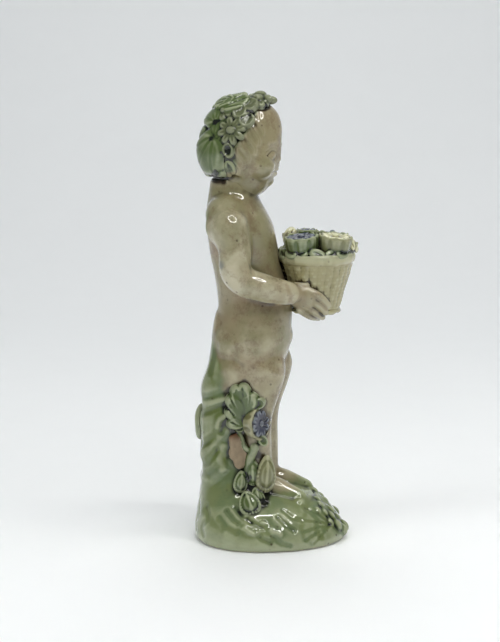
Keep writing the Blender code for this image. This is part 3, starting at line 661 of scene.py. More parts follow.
def fingers(p, side):
    """Four fingers round the basket's lower wall and under its foot, then the thumb up its side."""
    knuckles = (
        # along x, outward past the foot, up from the foot; for the knuckle, the middle joint and the tip
        ((-3.0, 2.6, 7.4), (0.4, 2.6, 5.7), (3.0, 1.1, 3.0)),
        ((-3.4, 2.5, 5.4), (0.0, 2.0, 3.4), (2.4, 0.4, 0.9)),
        ((-4.0, 2.0, 3.4), (-0.8, 1.0, 1.2), (1.6, -1.2, -0.7)),
        ((-4.6, 1.4, 1.8), (-1.6, -0.4, -0.2), (0.6, -3.2, -1.2)),
    )
    made = []
    for knuckle in knuckles:
        line = []
        for (x, out, z), thick in zip(knuckle, (1.10, 1.0, 0.86)):
            beside = side * (p.s.basket_foot + out * MM)
            line.append((p.basket + Vector((x * MM, beside, z * MM)), p.s.finger_radius * thick))
        made += roll(line)
    thumb = [
        (p.basket + Vector((-0.0058, side * (p.s.basket_foot + 0.0022), 0.0082)), p.s.finger_radius * 1.2),
        (p.basket + Vector((-0.0030, side * (p.s.basket_foot + 0.0024), 0.0086)), p.s.finger_radius * 0.9),
    ]
    return made + roll(thumb)


def leg(p, side, step_ahead):
    """One plump leg, its foot set flat on the mound, and five toes."""
    s = p.s
    middle = side * s.leg_spacing / 2
    levels = [
        (
            s.mound_height + share * s.leg_length,
            back * MM + step_ahead,
            front * MM + step_ahead,
            middle - w * MM,
            middle + w * MM,
        )
        for share, back, front, w in LEG_SECTIONS
    ]
    made = [tower(levels, count=28)]
    sole = Vector((step_ahead, middle, s.mound_height))
    made += roll(
        [
            (sole + mm(-5.0, 0.0, 2.4), 3.4 * MM),
            (sole + mm(0.6, side * 0.3, 2.6), 3.3 * MM),
            (sole + mm(5.0, side * 0.8, 1.0), 2.8 * MM),
            (sole + mm(8.2, side * 1.2, 0.0), 2.2 * MM),
        ]
    )
    for toe in range(5):
        size = 1.25 if toe == 0 else 0.95
        made.append(
            ball(sole + mm(10.2 - 0.55 * toe, side * (-1.3 + 1.35 * toe), -0.7), mm(1.7, size, size), segments=14)
        )
    return made


def body_masses(p):
    """Torso, limbs, stump and mound, before they are kneaded together."""
    s = p.s
    half_long, half_wide = s.base_length / 2, s.base_width / 2
    mound = [
        (share * s.mound_height, -back * half_long, front * half_long, -wide * half_wide, wide * half_wide)
        for share, back, front, wide in MOUND_SECTIONS
    ]
    stump = [
        (share * s.stump_height, back * MM, front * MM, -w * MM, w * MM)
        for share, back, front, w in STUMP_SECTIONS
    ]
    torso = [
        (p.hip.z + share * s.torso_length, back * MM, front * MM, -w * MM, w * MM)
        for share, back, front, w in TORSO_SECTIONS
    ]
    lumps = [tower(mound, 2.15, 0.10, count=72), tower(stump, 2.4, count=48), tower(torso, 2.15)]
    lumps.append(ball(p.hip + mm(7.4, 0.0, 4.0), mm(3.9, 6.4, 4.6)))
    for side in SIDES:
        lumps.append(ball(p.hip + mm(-5.6, side * 5.0, 2.6), mm(5.6, 5.6, 6.2)))
        lumps.append(ball(p.hip + mm(-4.8, side * 4.8, -5.4), mm(6.8, 5.3, 8.2)))
        lumps.append(ball(p.hip + mm(-4.4, side * 4.8, -13.0), mm(5.4, 4.4, 8.0)))
        lumps.append(ball(p.neck + mm(-1.6, side * 9.2, -7.6), mm(6.2, 4.6, 6.2), turn=(side * 18, 0, 0)))
        lumps.append(ball(p.neck + mm(-2.0, side * 6.4, -4.8), mm(5.8, 6.4, 5.8)))
        lumps += roll(arm_line(p, side))
        palm = p.basket + Vector((-0.0042, side * (s.basket_foot + 0.0020), 0.0052))
        lumps.append(ball(palm, mm(4.6, 2.0, 3.7), turn=(side * -16, 14, side * 8)))
    for side, step_ahead in p.feet:
        lumps += leg(p, side, step_ahead)
    return lumps


def tufts(body):
    """Tufts and stones pressed onto the front of the mound."""
    lumps = []
    places = (
        # height, degrees round the mound from straight ahead, size in millimetres
        (10.4, -22, 1.5), (8.8, -27, 1.4), (7.4, -20, 1.6), (9.6, -34, 1.3), (6.2, -28, 1.4), (11.4, -14, 1.4),
        (5.0, -20, 1.9), (3.4, -14, 2.0), (8.4, -12, 1.5), (6.2, -8, 1.6), (3.2, -4, 1.9), (10.2, 2, 1.4),
        (10.0, 24, 1.7), (5.6, 18, 1.9), (6.4, 52, 1.8), (8.2, 36, 1.5), (3.6, 34, 1.8), (9.4, 66, 1.4),
    )
    for height, turn, size in places:
        spot, _ = on_round(body, 0.0, height, turn, -0.75)
        lumps.append(ball(spot, mm(size * 1.25, size, size * 0.9), turn=(0, 36, turn), segments=14))
    return lumps


def side_line(body, side, places):
    """A path on one side of the figure through places given along and above the mound, in millimetres."""
    fine = []
    for (x0, z0), (x1, z1) in zip(places, places[1:]):
        steps = max(2, int(math.hypot(x1 - x0, z1 - z0) / 0.8))
        fine += [(x0 + (x1 - x0) * i / steps, z0 + (z1 - z0) * i / steps) for i in range(steps)]
    fine.append(places[-1])
    return [on_side(body, side, x, z)[0] for x, z in fine]


def draw_all(skin, body, side, strokes):
    """Draws strokes of (places, width, depth) in millimetres on one side."""
    for places, width, depth in strokes:
        skin.line(side_line(body, side, places), width * MM, depth * MM)


def carve_stump(skin, body):
    """Bark that hangs in soft folds from the sprig round to the back, drawn with a finger."""
    folds = (
        # places along and above, width and depth in millimetres; a ridge has a negative depth
        (((-15.2, 56.0), (-16.0, 52.2), (-16.9, 48.6)), 2.0, 0.22),
        (((-13.6, 57.5), (-14.8, 52.5), (-15.2, 47.6)), 2.0, -0.20),
        (((-11.3, 43.2), (-14.7, 42.6), (-19.0, 41.2)), 1.8, 0.22),
        (((-11.6, 41.6), (-15.0, 40.8), (-19.4, 38.9)), 1.8, -0.22),
        (((-12.2, 40.0), (-15.6, 38.6), (-19.6, 35.9)), 1.6, 0.22),
        (((-12.4, 37.0), (-14.2, 35.6), (-14.9, 33.0)), 1.3, -0.24),
        (((-12.0, 35.4), (-13.6, 34.2), (-14.0, 31.6)), 1.2, 0.20),
        (((-13.4, 33.7), (-16.0, 30.3), (-19.6, 27.6)), 2.0, 0.26),
        (((-14.8, 30.6), (-17.0, 27.0), (-19.8, 25.0)), 2.0, -0.24),
        (((-13.4, 27.8), (-14.2, 24.6), (-13.4, 21.4)), 1.8, -0.30),
        (((-15.4, 26.4), (-17.6, 23.2), (-20.2, 21.4)), 1.8, 0.26),
        (((-14.6, 20.4), (-17.0, 18.0), (-20.0, 17.2)), 2.0, -0.18),
    )
    for side in SIDES:
        for places, width, depth in folds:
            shifted = [(x, z * (1.0 if side < 0 else 0.96) + (0.0 if side < 0 else 1.4)) for x, z in places]
            skin.line(side_line(body, side, shifted), width * MM, depth * MM)
    for turn in (-168, -154, 156, 170, 180):
        path = [on_round(body, -13.0, height, turn + 5 * math.sin(height / 4.0))[0] for height in range(20, 58, 2)]
        skin.line(path, 1.8 * MM, 0.24 * MM)


def carve_mound(skin, body):
    """Grass brushed round the mound, a ribbed fan at the front and gouges under the sprig."""
    strokes = (
        (((-12.4, 10.6), (-10.4, 8.6), (-8.2, 7.4)), 1.3, 0.34),
        (((-10.2, 11.4), (-8.0, 9.2), (-5.8, 8.2)), 1.3, 0.32),
        (((-14.6, 8.4), (-12.2, 6.4), (-9.6, 5.6)), 1.5, 0.22),
        (((-8.4, 7.4), (-6.2, 5.8), (-3.8, 5.4)), 1.3, -0.34),
        (((-6.4, 9.0), (-3.6, 7.2), (-1.0, 7.0)), 1.3, 0.30),
        (((-4.4, 6.0), (-2.6, 4.0), (-0.4, 3.2)), 1.3, 0.30),
        (((-2.2, 8.0), (0.4, 5.8), (2.4, 5.2)), 1.3, -0.32),
        (((1.9, 9.3), (4.0, 7.4), (6.1, 5.9)), 1.3, 0.36),
        (((3.4, 10.6), (5.8, 9.0), (8.2, 8.2)), 1.3, 0.24),
        (((0.6, 4.2), (2.8, 2.6), (5.2, 1.8)), 1.3, 0.22),
        (((-18.6, 9.6), (-16.4, 7.0), (-13.6, 6.0)), 1.6, 0.15),
    )
    ribs = ((12.4, 12.2), (10.6, 10.2), (9.6, 7.8), (9.0, 5.2), (9.6, 3.0), (12.2, 1.8))
    strokes += tuple((((16.8, 5.6), ((16.8 + x) / 2, (5.6 + z) / 2 + 0.3), (x, z)), 0.8, 0.15) for x, z in ribs)
    strokes += ((((12.8, 12.8), (9.8, 10.2), (8.4, 6.4), (8.9, 3.4), (11.6, 1.4)), 1.1, 0.08),)
    for side in SIDES:
        draw_all(skin, body, side, strokes)
    for turn in (-46, -8, 14, 30, 44, 150, 168, 180, -166, -150):
        path = [on_round(body, 0.0, height, turn + 3 * math.sin(height))[0] for height in (10.5, 9, 7.5, 6, 4.5, 3)]
        skin.line(path, 1.5 * MM, 0.22 * MM)


def carve_child(p, skin, body):
    """Creases of a plump child at the neck, armpit, elbow and hip and under the seat, and the parted toes."""
    creases = (
        (((-17.2, 97.0), (-15.6, 97.6), (-13.8, 98.4)), 0.9, 0.14),
        (((-7.2, 85.6), (-6.2, 81.8), (-5.4, 77.6)), 1.5, 0.26),
        (((4.2, 73.6), (5.2, 70.8), (4.6, 67.6)), 1.0, 0.12),
        (((1.2, 54.6), (3.6, 56.4), (5.4, 58.2)), 1.8, 0.05),
        (((-2.0, 51.6), (1.6, 49.8), (4.0, 48.6)), 1.8, 0.15),
    )
    for side in SIDES:
        draw_all(skin, body, side, creases)
    for side, step_ahead in p.feet:
        sole = Vector((step_ahead, side * p.s.leg_spacing / 2, p.s.mound_height))
        for toe in range(4):
            x = 9.4 - 0.55 * toe
            y = side * (-0.65 + 1.35 * toe)
            path = [touch(body, sole + mm(x + step, y, 0), (0, 0, -1))[0] for step in (-1.4, -0.4, 0.6, 1.6)]
            skin.line(path, 0.40 * MM, 0.30 * MM)


def model_body(p, material):
    """The child below the neck, the stump that props it and the grassy mound, in one skin."""
    rough, grain = 0.00034, 0.00030
    piece = join(body_masses(p), "child_stump_and_mound")
    fuse(piece, rough, 44)
    skin = Skin(piece)
    skin.thumb(p.neck + mm(-7.4, 0, -16), mm(3.0, 2.4, 18), 0.0009, (1, 0, 0))
    skin.thumb(p.hip + mm(11.4, 0, 14.4), mm(1.6, 1.6, 1.6), 0.0008, (-1, 0, 0))
    skin.hold()
    body = surface(piece)
    lumps = tufts(body)
    for side in SIDES:
        lumps += fingers(p, side)
    piece = join([*lumps, piece], "child_stump_and_mound")
    fuse(piece, grain, 3)
    body = surface(piece)
    skin = Skin(piece)
    carve_stump(skin, body)
    carve_mound(skin, body)
    carve_child(p, skin, body)
    skin.knead(0.00004, 110.0)
    skin.points[:, 2] = np.maximum(skin.points[:, 2], 0.0)
    skin.hold()
    finish_with(piece, "SMOOTH", factor=0.5, iterations=2)
    keep_under(piece, 194000)
    skin = Skin(piece)
    skin.feel(grain)
    skin.mark("green", ground_cover(skin))
    return settle(piece, material)


def ground_cover(skin):
    """How green the glaze is: the stump and the mound, fading over the legs, the toes and the hips."""
    x, _, z = skin.points.T / MM
    edge = np.interp(z, (12, 20, 30, 38, 46, 52, 57, 62), (-3.0, -6.0, -9.0, -10.5, -12.4, -14.4, -15.6, -17.0))
    behind = np.clip((edge - x) / 3.6 + 0.35, 0, 1)
    low = np.clip((17.4 - z + np.maximum(x - 1.5, 0) * 0.10) / 4.2, 0, 1)
    return np.clip(np.maximum(behind, low), 0, 1)


# The head


def in_face(p, x, y, z):
    """A point of the head in millimetres from its middle, turned with the face."""
    return p.head + Matrix.Rotation(p.s.head_turn, 3, "Z") @ mm(x, y, z)


def on_face(p, body, x, y, z):
    """The point of the face met on the way in to its middle, from a place in millimetres."""
    aim = in_face(p, 0.0, y * 0.3, z)
    return touch(body, aim, aim - in_face(p, x, y, z))[0]


def strands(p, skin, body):
    """Soft locks that fall from under the wreath over the temples and down behind the cheeks."""
    for side in SIDES:
        for turn, rise, toward, fall, swing in LOCKS:
            path = []
            for i in range(9):
                t = i / 8
                across = turn + (toward - turn) * t + swing * 1.5 * math.sin(t * math.tau * 0.9)
                path.append(on_head(p, body, side * across, rise + (fall - rise) * t)[0])
            skin.line(path, 1.3 * MM, -0.22 * MM)
            skin.line(path[1:], 0.42 * MM, 0.12 * MM)


def hair_cover(p, skin):
    """How green the head is: only under the wreath."""
    x, y, z = (skin.points - np.array(p.hair)).T / MM
    rise = np.degrees(np.arctan2(z, np.hypot(x, y)))
    turn = np.abs(np.degrees(np.arctan2(y, x)))
    back = np.clip((turn - 92 + np.maximum(rise, 0) * 0.85) / 14, 0, 1)
    above = np.clip((rise + 38) / 8, 0, 1)
    return back * above


def model_head(p, material):
    """Face, cheeks and neck, with the first strands of hair."""
    s = p.s
    head = p.head
    lumps = [
        ball(head, (s.head_depth / 2, s.head_width / 2, s.head_height / 2), segments=40),
        ball(p.hair, p.hair_size, segments=40),
        ball(in_face(p, 2.4, 0.0, 2.4), mm(8.2, 8.2, 9.0), segments=40),
        ball(in_face(p, 3.2, 0.0, -6.6), mm(6.4, 7.4, 6.8), segments=32),
        ball(in_face(p, 0.8, 0.0, -11.0), mm(6.4, 7.0, 5.2), segments=32),
        ball(in_face(p, 6.2, 0.0, -10.4), mm(2.3, 2.6, 2.2)),
        ball(head + mm(-3.4, 0.0, -11.6), mm(5.8, 6.4, 5.4)),
    ]
    for side in SIDES:
        lumps.append(ball(in_face(p, 5.2, side * 4.6, -6.4), mm(4.1, 4.0, 4.4)))
    profile = (
        (6.9, 5.5, 3.2), (7.7, 1.6, 2.9), (8.1, -1.6, 2.5), (8.3, -4.2, 2.0), (7.6, -6.6, 2.0), (7.0, -8.8, 2.0),
        (5.6, -11.4, 2.2),
    )
    lumps += roll([(in_face(p, ahead, 0.0, above), broad * MM) for ahead, above, broad in profile])
    rough, grain = 0.00030, 0.00020
    piece = join(lumps, "head")
    fuse(piece, rough, 40)
    nose = ((9.0, -1.6, 0.9), (9.2, -3.8, 1.0), (9.3, -5.2, 1.05))
    nose = roll([(in_face(p, ahead, 0.0, above), broad * MM) for ahead, above, broad in nose])
    for side in SIDES:
        nose.append(ball(in_face(p, 8.75, side * 1.0, -5.6), mm(1.1, 0.9, 0.8), segments=18))
    piece = join([*nose, piece], "head")
    fuse(piece, grain, 10)
    body = surface(piece)
    skin = Skin(piece)
    face(p, skin, body)
    strands(p, skin, body)
    nape = [on_head(p, body, turn, -46)[0] for turn in range(100, 264, 6)]
    skin.line(nape, 1.5 * MM, 0.5 * MM)
    skin.knead(0.00003, 160.0)
    skin.hold()
    finish_with(piece, "SMOOTH", factor=0.5, iterations=4)
    keep_under(piece, 150000)
    skin = Skin(piece)
    skin.feel(grain)
    skin.mark("green", hair_cover(p, skin))
    return settle(piece, material)


def face(p, skin, body):
    """A child's face, pressed and drawn with a tool: sockets, lids, nostrils, lips and chin."""

    def draw(places, width, depth):
        fine = []
        for a, b in zip(places, places[1:]):
            fine += [[a[k] + (b[k] - a[k]) * i / 3 for k in range(3)] for i in range(3)]
        fine.append(places[-1])
        skin.line([on_face(p, body, *place) for place in fine], width * MM, depth * MM)

    for side in SIDES:
        eye = on_face(p, body, 8.4, side * 4.4, -4.0)
        skin.thumb(eye, mm(3.2, 3.2, 2.6), 0.0006)
        skin.thumb(eye, mm(2.2, 2.3, 1.55), -0.0006)
        inner, outer = (9.3, side * 2.6, -4.3), (6.9, side * 6.4, -3.9)
        draw((inner, (9.2, side * 3.5, -3.0), (8.4, side * 4.9, -2.7), outer), 0.40, 0.22)
        draw((inner, (8.9, side * 3.6, -5.0), (8.1, side * 5.0, -5.2), outer), 0.38, 0.14)
        lid = ((9.3, side * 2.5, -2.9), (9.0, side * 3.8, -1.9), (8.0, side * 5.4, -1.9), (6.8, side * 6.6, -2.9))
        draw(lid, 0.42, 0.14)
        draw(((9.6, side * 1.9, -2.4), (9.9, side * 2.0, -4.2), (9.8, side * 2.2, -6.0)), 0.6, 0.08)
        draw(((9.6, side * 1.8, -1.2), (9.0, side * 3.8, -0.1), (7.4, side * 5.9, -0.6)), 1.3, -0.20)
        skin.thumb(on_face(p, body, 9.8, side * 0.7, -6.4), mm(0.5, 0.45, 0.45), 0.0003)
        skin.thumb(on_face(p, body, 9.0, side * 2.6, -8.7), mm(1.2, 0.9, 1.3), 0.0001)
        skin.thumb(on_face(p, body, 6.6, side * 5.6, -7.4), mm(3.6, 3.6, 3.6), -0.0002)
    skin.thumb(on_face(p, body, 9.6, 0.0, -8.0), mm(1.4, 2.0, 0.9), -0.00026)
    skin.thumb(on_face(p, body, 9.3, 0.0, -9.5), mm(1.4, 1.6, 0.9), -0.00026)
    draw(((9.0, -2.2, -8.7), (9.7, -1.0, -8.8), (9.9, 0.0, -8.7), (9.7, 1.0, -8.8), (9.0, 2.2, -8.7)), 0.42, 0.2)
    skin.thumb(on_face(p, body, 8.8, 0.0, -10.5), mm(1.2, 2.2, 0.7), 0.0002)
    skin.thumb(on_face(p, body, 8.2, 0.0, -12.0), mm(1.8, 2.0, 1.4), -0.0003)


def model_wreath(p, material):
    """Leaves and flowers over the crown and the back of the head."""
    body = surface(bpy.data.objects["head"])
    thick = p.s.leaf_thickness
    green, pale = [], []
    dice = random.Random(7)
    for side in SIDES:

        def seat(turn, rise, lift=0.0):
            return on_head(p, body, side * turn, rise, lift)

        fillers = ((150, 42, 60), (120, 38, 50), (168, 20, 10), (128, 14, 0), (170, -30, -50), (130, -32, -50))
        fillers += ((160, 62, 80), (116, 64, 76), (84, 56, 66), (60, 72, 84), (176, -8, -30), (136, 30, 50))
        for turn, rise, up in fillers:
            centre, normal = seat(turn + dice.uniform(-4, 4), rise)
            aim, _ = seat(turn + dice.uniform(-20, 20), up)
            small = blade(
                (dice.uniform(5.0, 6.4) * MM, dice.uniform(4.4, 5.4) * MM, thick * 0.85), veins=(-28, 0, 28),
                vein_depth=0.14, fine=24,
            )
            green.append(press_on(small, body, centre, normal, aim - centre))
        for turn, rise, toward, up, long, wide, deep in (
            # turn and rise on the head, turn and rise it points at, length, width, thickness
            (147, -7, 166, -30, 13.8, 13.0, 1.25),
            (153, 48, 172, 54, 8.6, 8.8, 1.15),
        ):
            centre, normal = seat(turn, rise)
            aim, _ = seat(toward, up)
            veins = (-58, -30, -5, 24, 54)
            leaf = blade(
                (long * MM, wide * MM, thick * deep), taper=0.05, lobes=5, notch=0.14, veins=veins, vein_depth=0.07,
                rim=0.05, fine=60,
            )
            green.append(press_on(leaf, body, centre, normal, aim - centre, lift=0.0003))
        for turn, rise, toward, up, long, wide, lift in (
            (104, 66, 52, 70, 9.6, 7.0, 0.8),
            (140, 66, 168, 60, 7.2, 6.4, 1.0),
            (66, 60, 50, 64, 5.4, 4.6, 0.5),
            (81, 41, 66, 46, 5.2, 4.6, 0.2),
            (92, 52, 80, 62, 5.0, 4.2, 0.3),
        ):
            centre, normal = seat(turn, rise)
            aim, _ = seat(toward, up)
            drawn = 0.26 if lift > 0.7 else 0.14
            leaf = blade(
                (long * MM, wide * MM, thick * 1.3), hollow=0.2, rim=0.15, veins=(-32, -8, 14, 34), vein_depth=drawn,
                fine=36,
            )
            target = green if lift > 0.7 else pale
            target.append(press_on(leaf, body, centre, normal, aim - centre, lift=lift * MM))
        centre, normal = seat(109, -1)
        ear = blade((4.6 * MM, 3.2 * MM, thick * 0.9), hollow=0.55, rim=0.2, fine=26)
        pale.append(press_on(ear, body, centre, normal, Vector((0.15, 0, -1))))
        for turn, rise, size, petals, around in (
            (105, 28, 4.1, 8, 1.05), (126, 54, 3.0, 6, 1.1), (42, 66, 3.6, 6, 1.25)
        ):
            centre, normal = seat(turn, rise, 0.0008)
            pale += rosette(
                body, centre, normal, size * MM, petals, 0.0017, spin=12, hollow=0.10, around=around, spine=0.22
            )
    for turn, rise in ((180, 66), (180, 86)):
        centre, normal = on_head(p, body, turn, rise, 0.0)
        leaf = blade((6.4 * MM, 6.6 * MM, thick * 1.3), hollow=0.15, veins=(-34, 0, 34), vein_depth=0.15)
        green.append(press_on(leaf, body, centre, normal, mm(-1, 0, 0), lift=0.0006))
    crown, _ = touch(body, p.head + Vector((0.0044, -0.0012, 0.0)), (0, 0, -1), 0.0008)
    for i in range(7):
        way = Vector((math.cos(i * 0.9), math.sin(i * 0.9), 0)) * 2.6 * MM
        knob = crown + way + Vector((0, 0, -0.2 * MM - 0.7 * MM * (way.x / (2.6 * MM)) ** 2))
        pale.append(ball(knob, mm(2.0, 1.25, 1.2), turn=(0, 0, math.degrees(i * 0.9)), segments=18))
    pale.append(ball(crown + mm(-0.2, 0.0, 0.5), mm(1.9, 2.0, 1.3), segments=18))
    grain = 0.00021
    piece = fused_piece(green + labelled(pale, "pale"), "wreath", grain, passes=3, coats=("pale",), most=195000)
    Skin(piece).feel(grain)
    settle(piece, material)


def model_hair(p, material):
    """Locks of hair at the temples and the nape, low and wavy, below the wreath."""
    body = surface(bpy.data.objects["head"])
    lumps = []
    for side in SIDES:
        for turn, rise, toward, fall, wide in ((114, -18, 104, -40, 3.2), (121, -28, 114, -46, 3.0)):
            centre, normal = on_head(p, body, side * (turn + toward) / 2, (rise + fall) / 2)
            start, _ = on_head(p, body, side * turn, rise)
            end, _ = on_head(p, body, side * toward, fall)
            lock = blade(
                ((end - start).length * 1.1, wide * MM, 0.62 * MM), taper=-0.25, veins=(-9, 9), vein_depth=0.35, fine=26
            )
            lumps.append(press_on(lock, body, centre, normal, end - start, lift=-0.0002))
    for turn in (-44, -22, 0, 22, 44):
        start, _ = on_head(p, body, 180 + turn, -33, -0.0006)
        end, _ = on_head(p, body, 180 + turn * 0.95, -41, -0.0008)
        lumps += roll([(start, 1.5 * MM), (end, 1.2 * MM)])
    grain = 0.00020
    piece = join(lumps, "locks")
    fuse(piece, grain, 6)
    keep_under(piece, 120000)
    skin = Skin(piece)
    skin.feel(grain)
    skin.mark("green", np.clip(hair_cover(p, skin), 0.0, 0.6))
    settle(piece, material)


# The basket and its flowers


def turned(outline, steps):
    """A shape turned on the wheel from its outline of (radius, height), from top to bottom."""
    clear_bench()
    bpy.ops.mesh.primitive_plane_add(size=1.0)
    obj = bpy.context.object
    shape = bmesh.new()
    points = [shape.verts.new((radius, 0.0, z)) for radius, z in outline]
    for a, b in zip(points, points[1:]):
        shape.edges.new((a, b))
    shape.to_mesh(obj.data)
    shape.free()
    bpy.ops.object.mode_set(mode="EDIT")
    bpy.ops.mesh.select_all(action="SELECT")
    bpy.ops.mesh.spin(steps=steps, angle=math.tau, center=(0, 0, 0), axis=(0, 0, 1))
    bpy.ops.mesh.select_all(action="SELECT")
    bpy.ops.mesh.remove_doubles(threshold=0.000002)
    bpy.ops.mesh.normals_make_consistent(inside=False)
    bpy.ops.object.mode_set(mode="OBJECT")
    return obj


def wall_radius(p, height):
    """The basket wall's outer radius at a height above the foot."""
    top = p.s.basket_height - p.s.collar_height
    return p.s.basket_foot + (p.s.basket_rim - p.s.collar_step - p.s.basket_foot) * height / top


def model_basket(p, material):
    """The tapered basket: woven staves under a plain collar, a rolled foot, and clay up to the rim."""
    s = p.s
    top, rim, step = s.basket_height, s.basket_rim, s.collar_step
    under = top - s.collar_height
    outline = [
        (0.0, top - 0.0009),
        (rim * 0.5, top - 0.0009),
        (rim - 0.0014, top - 0.0008),
        (rim - 0.0010, top - 0.0002),
        (rim - 0.0005, top),
        (rim - 0.0001, top - 0.0004),
        (rim, top - 0.0009),
        (rim - 0.0001, under + 0.0009),
        (rim - 0.0004, under + 0.0003),
        (rim - step - 0.0001, under),
    ]
    rows = 84
    low, high = 0.0012, under - 0.0002
    for i in range(rows + 1):
        height = high + (low - high) * i / rows
        outline.append((wall_radius(p, height) - 0.0001, height))
    foot = s.basket_foot
    outline += [
        (foot + 0.0006, 0.0010), (foot + 0.0008, 0.0005), (foot + 0.0002, 0.0), (foot * 0.5, -0.0002), (0.0, -0.0002)
    ]
    obj = turned(outline, s.staves * 14)
    obj.name = obj.data.name = "wicker_basket"
    skin = Skin(obj)
    weave(p, skin)
    skin.points += np.array(p.basket)
    skin.knead(0.00010, 260.0)
    skin.hold()
    skin = Skin(obj)
    skin.feel(0.00022)
    settle(obj, material)


def weave(p, skin):
    """Raises the staves and presses the weavers between them, over one stave and under the next."""
    s = p.s
    x, y, z = skin.points.T
    radius = np.hypot(x, y)
    angle = np.arctan2(y, x)
    top = s.basket_height - s.collar_height
    wall = (z > 0.0010) & (z < top - 0.0001) & (radius > s.basket_foot * 0.9)
    fade = np.clip((z - 0.0010) / 0.0008, 0, 1) * np.clip((top - 0.0001 - z) / 0.0006, 0, 1)
    turns = angle * s.staves / math.tau + 0.05 * np.sin(z * 700 + angle * 3)
    stave = np.abs(np.cos(math.pi * turns)) ** 0.8
    row = z / 0.00096
    over = np.sin(math.pi * row) * np.where(np.floor(turns) % 2 == 0, 1.0, -1.0)
    rib = np.abs(np.sin(math.pi * row))
    worn = 0.75 + 0.25 * np.sin(angle * 2 + 1.0)
    lift = (0.00027 * stave + 0.00004 * over + 0.00005 * rib) * wall * fade * worn - 0.00010 * wall * fade
    collar = (z > top + 0.0002) & (radius > s.basket_rim * 0.8)
    lift += collar * 0.00007 * np.sin(angle * 23 + 2 * np.sin(angle * 5))
    skin.points[:, 0] += np.cos(angle) * lift
    skin.points[:, 1] += np.sin(angle) * lift


def cup_bloom(centre, axis, radius, height, petals=8, label="blue"):
    """A drum of a flower: a tapered cup, a scalloped rim and short petals dished round a button."""
    turn = facing(axis, Vector(axis).orthogonal())
    profile = [
        (0.0, 0.80), (0.30, 0.80), (0.70, 0.80), (0.82, 0.90), (0.91, 0.99), (0.97, 0.97), (1.0, 0.88), (0.99, 0.72),
        (0.94, 0.48), (0.88, 0.24), (0.80, 0.06), (0.76, 0.0), (0.0, 0.0),
    ]
    cup = turned([(r * radius, z * height) for r, z in profile], petals * 12)
    skin = Skin(cup)
    x, y, z = skin.points.T
    angle = np.arctan2(y, x)
    high = np.clip(z / height, 0, 1)
    shrink = 1 - (0.04 + 0.05 * high) * (0.5 - 0.5 * np.cos(petals * angle + 0.5 * np.sin(angle))) ** 2
    skin.points[:, 0] *= shrink
    skin.points[:, 1] *= shrink
    skin.points[:, 2] -= (np.hypot(x, y) > radius * 0.75) * high * height * 0.07 * (0.5 - 0.5 * np.cos(petals * angle))
    skin.hold()
    cup.matrix_world = Matrix.Translation(centre) @ turn.to_4x4()
    labelled([cup], label + "_cup")
    up = turn @ Vector((0, 0, 1))
    made = []
    for i in range(petals):
        angle = math.tau * (i + 0.5) / petals
        out = turn @ Vector((math.cos(angle), math.sin(angle), 0.0))
        petal = blade((radius * 0.70, radius * 0.46, 0.0009), taper=0.35, hollow=0.15, spine=0.35, fine=12)
        spot = Matrix.Translation(centre + up * height * 0.80 + out * radius * 0.50)
        petal.data.transform(spot @ facing(up - out * 0.12, out).to_4x4())
        finish_with(petal, "SOLIDIFY", thickness=0.0006, offset=-1.0)
        made.append(petal)
    made.append(ball(centre + up * height * 0.88, (radius * 0.22,) * 3, segments=12))
    labelled(made, label)
    return [cup, *made]


def model_posy(p, material):
    """Cup-shaped blooms packed inside the basket's rim, with leaves between them and over the rim."""
    s = p.s
    level = p.basket + Vector((0, 0, s.basket_height - 0.0005))
    ring = s.basket_rim - s.bloom_radius
    lumps = []
    for turn, size, label in ((-130, 1.0, "blue"), (-40, 1.0, "cream"), (46, 0.96, "blue"), (134, 1.0, "cream")):
        way = Matrix.Rotation(math.radians(turn), 3, "Z") @ Vector((1, 0, 0))
        axis = (Vector((0, 0, 1)) + way * 0.14).normalized()
        lumps += cup_bloom(level + way * ring, axis, s.bloom_radius * size, s.bloom_height, label=label)
    knob = level + mm(-2.6, 1.0, 1.9)
    lumps += cup_bloom(knob, Vector((0, 0, 1)), s.bloom_radius * 0.62, s.bloom_height * 0.86, petals=6, label="blue")
    drooping = level + Vector((s.basket_rim - 0.0034, 0.0014, -0.0004))
    outward = Vector((0.35, 0.1, 1)).normalized()
    lumps += cup_bloom(drooping, outward, s.bloom_radius * 0.66, s.bloom_height * 0.8, petals=6, label="cream")
    dice = random.Random(3)
    leaves = [ball(level, (s.basket_rim * 0.84, s.basket_rim * 0.84, 0.0022), segments=28)]
    for turn in range(-180, 180, 22):
        out = Matrix.Rotation(math.radians(turn + dice.uniform(-4, 4)), 3, "Z") @ Vector((1, 0, 0))
        centre = level + out * (s.basket_rim - dice.uniform(0.0008, 0.0018)) + mm(0, 0, dice.uniform(0.0, 0.8))
        along = out.cross(Vector((0, 0, 1))) + Vector((0, 0, dice.uniform(-0.6, 0.6)))
        size = (dice.uniform(4.0, 5.8) * MM, dice.uniform(2.6, 3.6) * MM, 0.0009)
        leaves.append(free_leaf(centre, along, out + Vector((0, 0, dice.uniform(0.2, 1.1))), size, spine=0.25, fine=14))
    back = free_leaf(level + mm(-7.4, 4.2, 4.4), (0.5, 0, 1), (0.2, -1, 0.2), mm(5.6, 3.6, 1.2), 0.0014, spine=0.3)
    droop = free_leaf(
        level + mm(8.8, -1.6, 3.0), (0.75, -0.15, -1), (1, -0.7, 0.6), mm(5.4, 4.4, 1.2), 0.0012, spine=0.4
    )
    over = free_leaf(level + mm(10.2, 2.0, 1.8), (0.5, 0.4, -1), (1, 0.2, 0.5), mm(4.8, 4.0, 1.2), 0.0012, spine=0.4)
    labelled([back, droop, over], "cream")
    parts, grain = lumps + leaves + [back, droop, over], 0.00020
    piece = fused_piece(parts, "posy", grain, passes=1, coats=("blue", "cream", "cream_cup"), most=195000)
    Skin(piece).feel(grain)
    settle(piece, material)


# The sprigs on the stump


